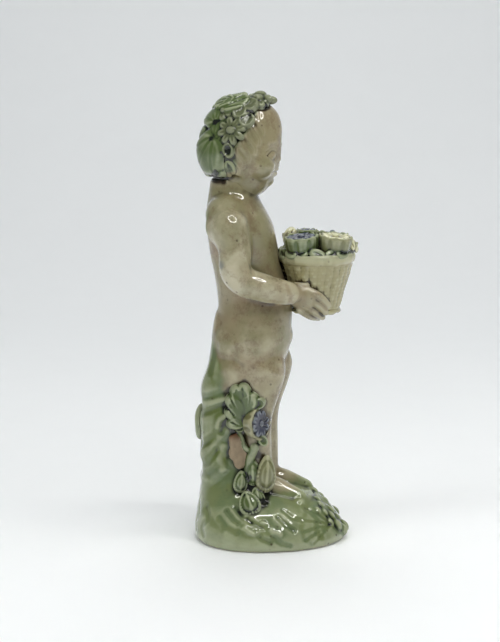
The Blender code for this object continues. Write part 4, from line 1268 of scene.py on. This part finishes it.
def press_scar(seat):
    """The bare clay where a leaf broke off, flat and rough."""
    edge = (
        (-11.5, 32.0), (-9.6, 31.8), (-7.9, 29.4), (-6.5, 26.9), (-7.5, 23.6), (-8.4, 21.0), (-9.4, 20.5),
        (-10.0, 23.4), (-10.6, 27.6), (-11.3, 30.0),
    )
    middle_x = sum(x for x, _ in edge) / len(edge)
    middle_z = sum(z for _, z in edge) / len(edge)
    clear_bench()
    bpy.ops.mesh.primitive_grid_add(x_subdivisions=34, y_subdivisions=34, size=2.0)
    obj = bpy.context.object
    turns = [math.atan2(z - middle_z, x - middle_x) for x, z in edge]
    fars = [math.hypot(x - middle_x, z - middle_z) for x, z in edge]
    order = sorted(range(len(edge)), key=turns.__getitem__)
    turns = [turns[i] for i in order]
    fars = [fars[i] for i in order]
    dice = random.Random(11)
    for vertex in obj.data.vertices:
        u, v = vertex.co.x, vertex.co.y
        x, z = u * math.sqrt(1 - v * v / 2), v * math.sqrt(1 - u * u / 2)
        far = min(math.hypot(x, z), 1.0)
        reach = float(np.interp(math.atan2(z, x), turns, fars, period=math.tau)) * 0.80
        spot, out = seat(middle_x + x * reach, middle_z + z * reach, 0.0)
        rough = dice.uniform(-0.04, 0.04)
        vertex.co = spot + out * (0.50 * (1 - far**8) + rough) * MM
    obj.data.update()
    finish_with(obj, "SOLIDIFY", thickness=0.0010, offset=1.0)
    labelled([obj], "scar")
    return obj


def model_garland(p, material):
    """The sprig of leaves, one blue bloom, buds and a scar down the right side, with a stub behind."""
    body = surface(bpy.data.objects["child_stump_and_mound"])
    thick, grain = p.s.leaf_thickness, 0.00020

    def seat(x, z, lift=0.2):
        return on_side(body, -1, x, z, lift)

    green = []
    for root, tips, width in (
        ((-6.9, 35.6), ((-7.6, 45.8), (-10.2, 45.2), (-4.9, 43.4), (-11.9, 42.4)), 0.0044),
        ((-8.0, 33.6), ((-12.3, 38.9), (-12.2, 35.2), (-9.8, 40.4)), 0.0037),
    ):
        for tip in tips:
            leaf = leaf_between(body, seat, root, tip, width, thick * 1.7, taper=0.45, hollow=0.1, spine=0.35, rim=0.1)
            green.append(leaf)
    for x, z, long, wide, toward in (
        (-3.6, 40.4, 4.6, 3.6, 0.3), (-9.4, 33.4, 4.0, 3.0, -0.4), (-2.6, 29.6, 4.0, 3.0, -1.2)
    ):
        centre, normal = seat(x, z)
        green.append(press_on(
            blade((long * MM, wide * MM, thick * 1.1), hollow=0.3, rim=0.15), body, centre, normal, mm(1, 0, toward)
        ))
    band = [
        (seat(-9.6, 33.0, 0.2)[0], 0.75 * MM), (seat(-8.6, 29.8, 0.7)[0], 0.85 * MM),
        (seat(-6.8, 27.4, 0.9)[0], 0.85 * MM), (seat(-4.6, 26.4, 0.6)[0], 0.8 * MM),
    ]
    spray = [
        (seat(-4.6, 27.6, 0.3)[0], 1.3 * MM), (seat(-5.6, 24.5, 0.6)[0], 1.3 * MM), (seat(-6.4, 20.5, 0.8)[0], 1.3 * MM)
    ]
    green += roll(band) + roll(spray)
    buds = (
        # along, above, lift, lean, length, width, thickness, how deep its border is
        (-2.0, 20.0, 1.5, 0.06, 10.8, 5.6, 3.4, 0.30),
        (-4.9, 20.4, 0.8, -0.06, 7.8, 4.6, 2.8, 0.15),
        (-8.9, 17.8, 0.8, 0.10, 6.4, 4.0, 2.4, 0.30),
        (-6.1, 11.9, 0.9, -0.30, 7.4, 6.0, 2.8, 0.30),
        (-3.8, 13.4, 0.3, -0.20, 6.0, 4.0, 2.2, 0.15),
    )
    for x, z, lift, lean, long, wide, deep, border in buds:
        centre, normal = seat(x, z, lift)
        flat = normal + Vector((0.10, -1.2, 0.10))
        bud = ball((0, 0, 0), mm(long / 2, wide / 2, deep / 2), segments=48)
        take(bud)
        bpy.ops.object.transform_apply(location=False, rotation=False, scale=True)
        for vertex in bud.data.vertices:
            along, across = vertex.co.x / (long * MM / 2), vertex.co.y / (wide * MM / 2)
            vertex.co.y *= 1 - 0.28 * along
            if vertex.co.z > 0:
                far = math.hypot(along, across)
                edge = math.exp(-(((far - 0.70) / 0.11) ** 2))
                vertex.co.z -= border * MM * edge * 1.3
                vertex.co.z += border * MM * math.exp(-((across / 0.16) ** 2)) * (far < 0.8)
                vertex.co.z += 0.12 * MM * (far > 0.75) * math.cos(math.atan2(across, along) * 26)
        bud.matrix_world = Matrix.Translation(centre) @ facing(flat, Vector((lean, 0.1, 1))).to_4x4()
        if long > 10:
            labelled([bud], "cream_cup")
        green.append(bud)
    centre, normal = on_round(body, -13.0, 32.8, 172, 0.0)
    stub = blade((10.8 * MM, 4.6 * MM, 1.5 * MM), spine=0.4)
    green.append(press_on(stub, body, centre, normal, mm(0.03, 0, 1)))
    cup, _ = seat(-6.1, 34.4, -0.8)
    bloom = cup_bloom(cup, Vector((0.80, -0.60, 0.04)).normalized(), 0.0048, 0.0038, label="blue")
    parts = green + bloom + [press_scar(seat)]
    piece = fused_piece(parts, "garland", grain, coats=("blue", "scar", "blue_cup", "cream_cup"), most=195000)
    Skin(piece).feel(grain)
    settle(piece, material)


def model_far_sprig(p, material):
    """A leaf, a flat flower and a bud on the stump's left side."""
    body = surface(bpy.data.objects["child_stump_and_mound"])

    def seat(x, z):
        return on_side(body, 1, x, z, 0.2)

    lumps = []
    for tip in ((-10.0, 42.0), (-12.6, 40.0), (-7.2, 41.0), (-13.4, 36.0)):
        lumps.append(leaf_between(
            body, seat, (-8.8, 34.0), tip, 0.0038, p.s.leaf_thickness * 1.4, taper=0.35, hollow=0.1, spine=0.55,
            veins=(-24, 24), vein_depth=0.2,
        ))
    centre, normal = seat(-8.8, 24.0)
    lumps.append(press_on(
        blade((9.0 * MM, 4.6 * MM, 1.8 * MM), spine=0.5, veins=(-22, 22)), body, centre, normal, mm(0.1, 0.0, 1)
    ))
    centre, normal = seat(-8.4, 31.6)
    flower = rosette(body, centre + normal * 0.0006, normal, 0.0040, 6, 0.0015, spine=0.3)
    labelled(flower, "blue")
    grain = 0.00022
    piece = fused_piece(lumps + flower, "left_sprig", grain, coats=("blue",))
    Skin(piece).feel(grain)
    settle(piece, material)


# Painted shade and pools in the joints


def pools():
    """Painted shade where shadow falls under the wreath, under the chin and in pits and gaps, with some glaze
    collecting there too: x and z in millimetres on both sides, how far it spreads, how deep.
    """
    return (
        (-16.2, 101.9, 1.1, 1.4), (-14.8, 101.8, 1.2, 1.5), (-13.0, 101.6, 1.1, 1.4),
        (-9.6, 99.6, 0.9, 0.35), (-7.6, 98.6, 0.9, 0.4), (-5.6, 97.6, 0.9, 0.5), (-3.8, 96.6, 0.9, 0.6),
        (-15.5, 117.9, 0.8, 1.5), (-16.5, 113.3, 0.8, 1.4), (-15.4, 104.6, 0.7, 1.3), (-5.6, 120.3, 1.0, 1.5),
        (-1.6, 121.8, 0.9, 1.4), (-11.1, 107.6, 0.5, 1.2), (-13.8, 109.7, 0.5, 1.0), (-8.4, 119.0, 0.6, 0.8),
        (-6.0, 19.2, 1.1, 1.2), (-2.0, 12.6, 1.3, 1.3), (-7.6, 15.6, 1.0, 1.0), (-3.2, 25.2, 1.2, 1.0),
        (-12.0, 38.6, 1.0, 1.1), (-10.4, 32.6, 1.1, 1.0), (-4.2, 9.4, 1.6, 0.5), (-1.0, 15.0, 1.2, 0.5),
        (13.4, 9.6, 1.2, 0.45), (16.4, 7.4, 1.5, 0.5), (18.4, 4.4, 1.5, 0.55), (12.2, 12.0, 0.9, 0.5),
    )


def note_neighbours():
    """Marks on every piece how near the next piece is, for the glaze that gathers in the joints and the painted shade
    there, and adds the painted shade spots.
    """
    pieces = [obj for obj in bpy.data.objects if obj.type == "MESH" and obj.data.attributes.get("crease")]
    bodies = {obj.name: surface(obj) for obj in pieces}
    boxes = {}
    for obj in pieces:
        points = Skin(obj).points
        boxes[obj.name] = (points.min(axis=0), points.max(axis=0))
    reach = 1.3 * MM
    for obj in pieces:
        skin = Skin(obj)
        points = skin.points
        near = np.zeros(len(points))
        for other in pieces:
            if other is obj:
                continue
            share = 0.25 if {obj.name, other.name} == {"head", "child_stump_and_mound"} else 1.0
            low, high = boxes[other.name]
            inside = np.all((points > low - reach) & (points < high + reach), axis=1)
            body = bodies[other.name]
            for i in np.flatnonzero(inside):
                found = body.find_nearest(Vector(points[i]), reach)
                if found[0] is not None:
                    near[i] = max(near[i], share * (1 - found[3] / reach))
        near = skin.relaxed(near, 2)
        x, _, z = points.T / MM
        # Painted shade spots, added to the joint mark.
        for px, pz, spread, deep in pools():
            near += deep * np.exp(-((x - px) ** 2 + (z - pz) ** 2) / spread**2)
        skin.mark("near", near)


# Glazes


def node_group(name, inputs, outputs):
    """A new shader group with named sockets, and its input and output nodes."""
    group = bpy.data.node_groups.new(name, "ShaderNodeTree")
    for label, kind, default in inputs:
        socket = group.interface.new_socket(label, in_out="INPUT", socket_type=kind)
        socket.default_value = default
    for label, kind in outputs:
        group.interface.new_socket(label, in_out="OUTPUT", socket_type=kind)
    return group, group.nodes.new("NodeGroupInput"), group.nodes.new("NodeGroupOutput")


def maths(tree, operation, a, b=None, clamp=False):
    """One sum on two values, each a socket or a number."""
    node = tree.nodes.new("ShaderNodeMath")
    node.operation = operation
    node.use_clamp = clamp
    for slot, value in zip(node.inputs, (a, b)):
        if value is None:
            continue
        if isinstance(value, (int, float)):
            slot.default_value = value
        else:
            tree.links.new(value, slot)
    return node.outputs[0]


def times(tree, a, b):
    """One value times another."""
    return maths(tree, "MULTIPLY", a, b)


def plus(tree, a, b):
    """One value and another."""
    return maths(tree, "ADD", a, b)


def mixed(tree, share, a, b):
    """A blend of two colours."""
    node = tree.nodes.new("ShaderNodeMix")
    node.data_type = "RGBA"
    for slot, value in zip((node.inputs[0], node.inputs[6], node.inputs[7]), (share, a, b)):
        if isinstance(value, (int, float)):
            slot.default_value = value
        elif isinstance(value, (tuple, list)):
            slot.default_value = (*value[:3], 1.0)
        else:
            tree.links.new(value, slot)
    return node.outputs[2]


def noise(tree, where, scale, detail=3.0, rough=0.55):
    """Cloudy noise from 0 to 1."""
    node = tree.nodes.new("ShaderNodeTexNoise")
    node.inputs["Scale"].default_value = scale
    node.inputs["Detail"].default_value = detail
    node.inputs["Roughness"].default_value = rough
    tree.links.new(where, node.inputs["Vector"])
    return node.outputs["Fac"]


def ramped(tree, value, low, high):
    """0 below low, 1 above high, eased between."""
    node = tree.nodes.new("ShaderNodeMapRange")
    node.interpolation_type = "SMOOTHSTEP"
    node.inputs["From Min"].default_value = low
    node.inputs["From Max"].default_value = high
    tree.links.new(value, node.inputs["Value"])
    return node.outputs["Result"]


def patches(tree, where, scale, detail, low, high, strength, rough=0.55):
    """Soft patches from 0 to that strength."""
    return times(tree, ramped(tree, noise(tree, where, scale, detail, rough), low, high), strength)


def drift(tree, where, scale, detail, strength):
    """Cloudy noise about zero."""
    return times(tree, maths(tree, "SUBTRACT", noise(tree, where, scale, detail), 0.5), strength)


def axes(tree, where):
    """X, Y and Z of a place."""
    node = tree.nodes.new("ShaderNodeSeparateXYZ")
    tree.links.new(where, node.inputs[0])
    return node.outputs


def read_mark(tree, name):
    """A number that the modelling kept on the skin."""
    node = tree.nodes.new("ShaderNodeAttribute")
    node.attribute_name = name
    return node.outputs["Fac"]


def pool_and_shade_group():
    """Glaze of one colour: thin on edges, full on the flats, dark where it collects in creases and hollows, with
    painted shade in joints and pits that goes near black where it is deepest.
    """
    inputs = (
        ("Thin", "NodeSocketColor", (0.5, 0.5, 0.4, 1)),
        ("Full", "NodeSocketColor", (0.3, 0.3, 0.2, 1)),
        ("Pooled", "NodeSocketColor", (0.05, 0.05, 0.03, 1)),
        ("Crease", "NodeSocketFloat", 0.0),
        ("Hollow", "NodeSocketFloat", 0.0),
        ("Joint_pool_and_shade", "NodeSocketFloat", 0.0),
        ("Cloud", "NodeSocketFloat", 0.5),
    )
    group, start, end = node_group("glaze_pool_and_shade", inputs, (("Color", "NodeSocketColor"),))
    out = start.outputs
    cloud = times(group, maths(group, "SUBTRACT", out["Cloud"], 0.5), 0.8)
    relief = plus(group, times(group, out["Hollow"], 0.60), times(group, out["Crease"], 0.80))
    thin = ramped(group, plus(group, relief, times(group, cloud, 0.8)), -0.05, -0.75)
    # The mark of nearby pieces adds painted shade to the glaze that collects in the relief.
    gathered_and_shaded = plus(group, relief, times(group, out["Joint_pool_and_shade"], 1.15))
    pooled_and_shaded = ramped(group, plus(group, gathered_and_shaded, times(group, cloud, 0.55)), 0.12, 1.00)
    coloured = mixed(group, thin, out["Full"], out["Thin"])
    coloured = mixed(group, pooled_and_shaded, coloured, out["Pooled"])
    # Painted shadow: near black where the joints and the painted shade spots are darkest.
    coloured = mixed(group, ramped(group, gathered_and_shaded, 1.05, 1.7), coloured, (0.007, 0.007, 0.005))
    group.links.new(coloured, end.inputs["Color"])
    return group


def specks_group():
    """Fine iron specks and pinholes in the glaze."""
    inputs = (("Where", "NodeSocketVector", (0, 0, 0)), ("Amount", "NodeSocketFloat", 0.5))
    group, start, end = node_group("iron_specks", inputs, (("Mask", "NodeSocketFloat"),))
    cells = group.nodes.new("ShaderNodeTexVoronoi")
    cells.inputs["Scale"].default_value = 430.0
    group.links.new(start.outputs["Where"], cells.inputs["Vector"])
    near = ramped(group, cells.outputs["Distance"], 0.20, 0.09)
    tone = group.nodes.new("ShaderNodeSeparateColor")
    group.links.new(cells.outputs["Color"], tone.inputs[0])
    chosen = ramped(group, tone.outputs[0], 0.50, 0.85)
    patch = noise(group, start.outputs["Where"], 150.0, 3.0)
    mask = times(group, near, times(group, chosen, ramped(group, patch, 0.38, 0.62)))
    mask = maths(group, "MULTIPLY", mask, start.outputs["Amount"], clamp=True)
    group.links.new(mask, end.inputs["Mask"])
    return group


def place_group(tree, group, **values):
    """Puts a shared group in a material, with its own values."""
    node = tree.nodes.new("ShaderNodeGroup")
    node.node_tree = group
    for label, value in values.items():
        slot = node.inputs[label]
        if isinstance(value, (int, float)):
            slot.default_value = value
        elif isinstance(value, (tuple, list)) or hasattr(value, "hsv"):
            slot.default_value = (*tuple(value)[:3], 1.0)
        else:
            tree.links.new(value, slot)
    return node


def new_glaze(name, paint, speckle=0.8):
    """A glossy lead glaze over clay. paint takes the tree, the place and a coat, and gives a colour and bare clay."""
    material = bpy.data.materials.new(name)
    material.use_nodes = True
    tree = material.node_tree
    shader = tree.nodes["Principled BSDF"]
    where = tree.nodes.new("ShaderNodeTexCoord").outputs["Object"]
    pool_and_shade = bpy.data.node_groups.get("glaze_pool_and_shade") or pool_and_shade_group()
    specks = bpy.data.node_groups.get("iron_specks") or specks_group()
    # The mark of nearby pieces carries painted shade in joints and pits as well as the glaze that collects there.
    marks = {
        "Crease": read_mark(tree, "crease"),
        "Hollow": read_mark(tree, "hollow"),
        "Joint_pool_and_shade": read_mark(tree, "near"),
        "Cloud": noise(tree, where, 240.0, 5.0, 0.6),
    }

    def coat(thin, full, pooled_and_shaded):
        return place_group(
            tree, pool_and_shade, Thin=tuple(thin), Full=tuple(full), Pooled=tuple(pooled_and_shaded), **marks
        ).outputs["Color"]

    painted, bare = paint(tree, where, coat)
    spots = place_group(tree, specks, Where=where, Amount=speckle).outputs["Mask"]
    painted = mixed(tree, spots, painted, (0.05, 0.03, 0.02))
    tree.links.new(painted, shader.inputs["Base Color"])
    shader.inputs["Roughness"].default_value = 0.45
    shader.inputs["Specular IOR Level"].default_value = 0.1
    shader.inputs["Coat Weight"].default_value = 1.0
    shader.inputs["Coat Roughness"].default_value = 0.03
    shader.inputs["Coat IOR"].default_value = 1.64
    bump = tree.nodes.new("ShaderNodeBump")
    bump.inputs["Strength"].default_value = 0.09
    bump.inputs["Distance"].default_value = 0.0001
    ripple = plus(tree, noise(tree, where, 420.0, 2.0), times(tree, noise(tree, where, 150.0, 2.0), 1.6))
    if bare is not None:
        tree.links.new(maths(tree, "SUBTRACT", 1.0, bare), shader.inputs["Coat Weight"])
        grit = times(tree, noise(tree, where, 1900.0, 4.0), times(tree, bare, 5.0))
        ripple = plus(tree, ripple, grit)
    tree.links.new(ripple, bump.inputs["Height"])
    tree.links.new(bump.outputs["Normal"], shader.inputs["Normal"])
    return material


def shared(name, paint, **values):
    """The material of that name, made once."""
    return bpy.data.materials.get(name) or new_glaze(name, paint, **values)


def flesh_and_ground():
    """Clear glaze on the child, brushed with green on the stump and the mound, with painted light on the outer sides
    and the back of the figure.
    """
    g = bpy.context.scene.cherub_glazes

    def paint(tree, where, coat):
        flesh = coat(g.flesh_thin, g.flesh_full, g.flesh_pool_and_shade)
        warm = coat(g.flesh_thin, g.flesh_warm, g.flesh_pool_and_shade)
        flesh = mixed(tree, patches(tree, where, 70.0, 4.0, 0.42, 0.72, 0.8), flesh, warm)
        place = axes(tree, where)
        # Painted light: a lighter copy of the clear glaze on the outer sides of the figure, most towards its back,
        # where more light falls.
        outer = ramped(tree, maths(tree, "ABSOLUTE", place["Y"]), 0.0090, 0.0140)
        outer = times(tree, outer, ramped(tree, noise(tree, where, 90.0, 3.0), 0.24, 0.50))
        behind = plus(tree, times(tree, ramped(tree, place["X"], -0.002, -0.012), 0.65), 0.35)
        outer = times(tree, outer, behind)
        flesh = mixed(tree, outer, flesh, coat((0.54, 0.50, 0.36), (0.43, 0.395, 0.265), g.flesh_pool_and_shade))
        clear = maths(tree, "SUBTRACT", 1.0, read_mark(tree, "near"), clamp=True)
        olive = patches(tree, where, 60.0, 5.0, 0.46, 0.62, 0.6)
        flesh = mixed(tree, times(tree, olive, clear), flesh, (0.190, 0.185, 0.085))
        brown = patches(tree, where, 230.0, 7.0, 0.46, 0.68, 0.55, rough=0.75)
        flesh = mixed(tree, times(tree, brown, clear), flesh, (0.155, 0.098, 0.054))
        away = tree.nodes.new("ShaderNodeVectorMath")
        away.operation = "DISTANCE"
        tree.links.new(where, away.inputs[0])
        away.inputs[1].default_value = BLUISH_SPOT
        smudge = plus(tree, away.outputs["Value"], times(tree, noise(tree, where, 900.0, 3.0), 0.0014))
        flesh = mixed(tree, times(tree, ramped(tree, smudge, 0.0026, 0.0014), 0.6), flesh, (0.16, 0.18, 0.19))
        green = coat(g.green_thin, g.green_full, g.green_pool_and_shade)
        cool = coat(g.green_thin, g.green_cool, g.green_pool_and_shade)
        low = times(tree, ramped(tree, place["Z"], 0.021, 0.012), 0.75)
        low = times(tree, low, ramped(tree, place["X"], 0.019, 0.009))
        green = mixed(tree, low, green, coat((0.36, 0.40, 0.24), (0.205, 0.240, 0.108), g.green_pool_and_shade))
        green = mixed(tree, patches(tree, where, 130.0, 4.0, 0.45, 0.62, 0.7), green, cool)
        share = plus(tree, read_mark(tree, "green"), drift(tree, where, 110.0, 4.0, 1.3))
        glazed = mixed(tree, ramped(tree, share, 0.30, 0.85), flesh, green)
        wiped = plus(tree, place["Z"], times(tree, noise(tree, where, 300.0, 3.0), 0.0009))
        return mixed(tree, ramped(tree, wiped, 0.0010, 0.0006), glazed, (0.50, 0.46, 0.32)), None

    return shared("flesh_and_ground_glaze", paint)


def leaf_glaze():
    """Green glaze on leaves, paler on petals."""
    g = bpy.context.scene.cherub_glazes

    def paint(tree, where, coat):
        # The leaf edges carry a painted sheen.
        green = coat(g.leaf_edge_and_sheen, g.leaf_full, g.green_pool_and_shade)
        pale = coat(g.petal_thin, g.petal_full, g.green_pool_and_shade)
        share = plus(tree, read_mark(tree, "pale"), drift(tree, where, 160.0, 3.0, 1.2))
        return mixed(tree, ramped(tree, share, 0.2, 0.8), green, pale), None

    return shared("leaf_glaze", paint, speckle=0.4)


def bloom_glaze():
    """Green, blue and cream glazes side by side, and bare clay in the scar."""
    g = bpy.context.scene.cherub_glazes

    def paint(tree, where, coat):
        # The leaf edges carry a painted sheen.
        green = coat(g.leaf_edge_and_sheen, g.leaf_full, g.green_pool_and_shade)
        blue = coat(g.blue_thin, g.blue_full, g.blue_pool_and_shade)
        cream = coat(g.cream, (0.42, 0.41, 0.21), g.flesh_pool_and_shade)
        blue_cup = coat((0.34, 0.33, 0.20), (0.150, 0.145, 0.062), g.flesh_pool_and_shade)
        cup = coat((0.33, 0.33, 0.19), (0.175, 0.180, 0.082), g.flesh_pool_and_shade)
        painted = mixed(tree, read_mark(tree, "blue_cup"), green, blue_cup)
        painted = mixed(tree, read_mark(tree, "cream_cup"), painted, cup)
        painted = mixed(tree, read_mark(tree, "blue"), painted, blue)
        painted = mixed(tree, read_mark(tree, "cream"), painted, cream)
        bare = ramped(tree, read_mark(tree, "scar"), 0.35, 0.75)
        clay = mixed(
            tree, noise(tree, where, 700.0, 4.0), tuple(v * 0.65 for v in g.scar), tuple(v * 1.25 for v in g.scar)
        )
        clay = mixed(tree, ramped(tree, axes(tree, where)["Z"], 0.0290, 0.0318), clay, tuple(g.rust))
        return mixed(tree, bare, painted, clay), bare

    return shared("bloom_glaze", paint, speckle=0.3)


def wicker_glaze():
    """Yellowish clear glaze on the wickerwork."""
    g = bpy.context.scene.cherub_glazes

    def paint(tree, where, coat):
        rim = ramped(tree, axes(tree, where)["Z"], 0.0785, 0.0815)
        staves = coat(g.wicker_thin, g.wicker_full, g.flesh_pool_and_shade)
        collar = coat((0.40, 0.41, 0.26), (0.235, 0.250, 0.130), g.green_pool_and_shade)
        return mixed(tree, rim, staves, collar), None

    return shared("wicker_glaze", paint, speckle=0.4)


# The table, the light and the camera


def set_stage():
    """Pale paper that sweeps up behind the figure, soft lamps and a ring light high on the right of the camera."""
    c = bpy.context.scene.cherub_stage
    clear_bench()
    bpy.ops.mesh.primitive_plane_add(size=1.0)
    paper = bpy.context.object
    paper.name = "paper"
    shape = bmesh.new()
    rows = []
    steps = [(-1.2, 0.0), (0.35, 0.0)]
    steps += [(0.35 + 0.4 * math.sin(math.radians(a)), 0.4 - 0.4 * math.cos(math.radians(a))) for a in range(6, 91, 6)]
    steps += [(0.75, 1.6)]
    for y, z in steps:
        rows.append([shape.verts.new((x, y, z)) for x in (-1.5, 1.5)])
    for a, b in zip(rows, rows[1:]):
        shape.faces.new((a[0], a[1], b[1], b[0]))
    shape.to_mesh(paper.data)
    shape.free()
    take(paper)
    bpy.ops.object.shade_smooth()
    paper.data.materials.append(paper_material(c))

    aim = Vector((0, 0, 0.075))
    up, aside = math.radians(57), math.radians(30)
    toward = Vector((math.sin(aside) * math.cos(up), -math.cos(aside) * math.cos(up), math.sin(up)))
    ring_at = aim + toward * RING_DISTANCE
    bpy.ops.mesh.primitive_torus_add(
        location=ring_at,
        rotation=(aim - ring_at).to_track_quat("Z", "Y").to_euler(),
        major_radius=c.ring_radius,
        minor_radius=0.012,
        major_segments=64,
        minor_segments=12,
    )
    ring = bpy.context.object
    ring.name = "ring_light"
    glow = bpy.data.materials.new("ring_glow")
    glow.use_nodes = True
    shader = glow.node_tree.nodes["Principled BSDF"]
    shader.inputs["Base Color"].default_value = (0, 0, 0, 1)
    shader.inputs["Emission Color"].default_value = (1.0, 0.985, 0.95, 1)
    shader.inputs["Emission Strength"].default_value = c.ring_glow
    ring.data.materials.append(glow)

    sweep = Vector((0.0, 0.62, 0.06))
    for name, place, size, power in (
        ("soft_back", (0.0, 0.30, 0.80), 0.5, 0.3),
        ("soft_left", (-0.40, -0.26, 0.32), 0.20, 0.8),
        ("soft_right", (0.48, 0.02, 0.30), 0.20, 0.4),
        ("soft_top", (0.0, 0.50, 0.85), 0.7, 3.3),
    ):
        lamp = bpy.data.lights.new(name, "AREA")
        lamp.size = size
        lamp.energy = power
        obj = bpy.data.objects.new(name, lamp)
        bpy.context.scene.collection.objects.link(obj)
        obj.location = place
        goal = sweep if name == "soft_back" else aim
        obj.rotation_euler = (goal - Vector(place)).to_track_quat("-Z", "Y").to_euler()
        obj.visible_glossy = False

    world = bpy.data.worlds.new("soft_room")
    world.use_nodes = True
    world.node_tree.nodes["Background"].inputs[0].default_value = (0.88, 0.93, 0.96, 1)
    world.node_tree.nodes["Background"].inputs[1].default_value = 0.16
    bpy.context.scene.world = world

    camera = bpy.data.cameras.new("camera")
    obj = bpy.data.objects.new("camera", camera)
    bpy.context.scene.collection.objects.link(obj)
    across = -0.0059
    obj.location = (across, -c.camera_distance, c.camera_height)
    look = Vector((across, 0.0, 0.060)) - obj.location
    obj.rotation_euler = look.to_track_quat("-Z", "Y").to_euler()
    camera.sensor_width = 36.0
    camera.lens = camera.sensor_width * PHOTO_FOCAL / PHOTO_HEIGHT
    camera.shift_y = (PHOTO_LEVEL - PHOTO_HEIGHT / 2) / PHOTO_HEIGHT
    camera.clip_start = 0.01
    camera.clip_end = 10.0
    bpy.context.scene.camera = obj
    bpy.context.scene.view_settings.view_transform = "Standard"


def paper_material(c):
    """Matt pale paper with a faint tooth."""
    material = bpy.data.materials.new("pale_paper")
    material.use_nodes = True
    tree = material.node_tree
    shader = tree.nodes["Principled BSDF"]
    where = tree.nodes.new("ShaderNodeTexCoord").outputs["Object"]
    tooth = noise(tree, where, 60.0, 3.0)
    tree.links.new(mixed(tree, tooth, tuple(c.table), tuple(v * 0.985 for v in c.table)), shader.inputs["Base Color"])
    shader.inputs["Roughness"].default_value = 0.75
    shader.inputs["Specular IOR Level"].default_value = 0.2
    return material


# Operators


class CherubStep(bpy.types.Operator):
    """One step of the making."""

    bl_idname = "cherub.step"
    bl_label = "Step"
    bl_options = {"REGISTER", "UNDO"}

    def make(self):
        """What this step models."""
        raise NotImplementedError

    def execute(self, context):
        self.make()
        return {"FINISHED"}


class ModelBody(CherubStep):
    """Models the child below the neck, the stump and the mound"""

    bl_idname = "cherub.model_body"
    bl_label = "Body, stump and mound"

    def make(self):
        model_body(plan(), flesh_and_ground())


class ModelHead(CherubStep):
    """Models the head and the face"""

    bl_idname = "cherub.model_head"
    bl_label = "Head"

    def make(self):
        model_head(plan(), flesh_and_ground())


class ModelHair(CherubStep):
    """Models the locks of hair"""

    bl_idname = "cherub.model_hair"
    bl_label = "Locks"

    def make(self):
        model_hair(plan(), flesh_and_ground())


class ModelWreath(CherubStep):
    """Models the wreath of leaves and flowers"""

    bl_idname = "cherub.model_wreath"
    bl_label = "Wreath"

    def make(self):
        model_wreath(plan(), leaf_glaze())


class ModelBasket(CherubStep):
    """Models the wicker basket"""

    bl_idname = "cherub.model_basket"
    bl_label = "Basket"

    def make(self):
        model_basket(plan(), wicker_glaze())


class ModelPosy(CherubStep):
    """Models the flowers in the basket"""

    bl_idname = "cherub.model_posy"
    bl_label = "Posy"

    def make(self):
        model_posy(plan(), bloom_glaze())


class ModelGarland(CherubStep):
    """Models the sprig down the right side"""

    bl_idname = "cherub.model_garland"
    bl_label = "Garland"

    def make(self):
        model_garland(plan(), bloom_glaze())


class ModelFarSprig(CherubStep):
    """Models the sprig on the left side"""

    bl_idname = "cherub.model_far_sprig"
    bl_label = "Left sprig"

    def make(self):
        model_far_sprig(plan(), bloom_glaze())


class NoteNeighbours(CherubStep):
    """Notes where pieces meet, for the glaze that gathers there and the painted shade"""

    bl_idname = "cherub.note_neighbours"
    bl_label = "Joints"

    def make(self):
        note_neighbours()


class SetStage(CherubStep):
    """Sets the paper, the lights and the camera"""

    bl_idname = "cherub.set_stage"
    bl_label = "Stage"

    def make(self):
        set_stage()


STEPS = (
    ModelBody, ModelHead, ModelHair, ModelWreath, ModelBasket, ModelPosy, ModelGarland, ModelFarSprig, NoteNeighbours,
    SetStage,
)


class CherubPanel(bpy.types.Panel):
    """Lists the steps and the values that they use."""

    bl_idname = "VIEW3D_PT_cherub"
    bl_label = "Pottery cherub"
    bl_space_type = "VIEW_3D"
    bl_region_type = "UI"
    bl_category = "Cherub"

    def draw(self, context):
        layout = self.layout
        for step in STEPS:
            layout.operator(step.bl_idname)
        for group in (context.scene.cherub_sizes, context.scene.cherub_glazes, context.scene.cherub_stage):
            box = layout.box()
            for name in group.bl_rna.properties.keys():
                if name not in ("rna_type", "name"):
                    box.prop(group, name)


CLASSES = (CherubSizes, CherubGlazes, CherubStage, *STEPS, CherubPanel)


def register():
    """Adds the classes and the values to Blender."""
    for item in CLASSES:
        bpy.utils.register_class(item)
    bpy.types.Scene.cherub_sizes = bpy.props.PointerProperty(type=CherubSizes)
    bpy.types.Scene.cherub_glazes = bpy.props.PointerProperty(type=CherubGlazes)
    bpy.types.Scene.cherub_stage = bpy.props.PointerProperty(type=CherubStage)


def unregister():
    """Takes them out again."""
    del bpy.types.Scene.cherub_stage
    del bpy.types.Scene.cherub_glazes
    del bpy.types.Scene.cherub_sizes
    for item in reversed(CLASSES):
        bpy.utils.unregister_class(item)


def main():
    """Makes the whole figure."""
    register()
    for step in STEPS:
        area, name = step.bl_idname.split(".")
        getattr(getattr(bpy.ops, area), name)()


if __name__ == "__main__":
    main()
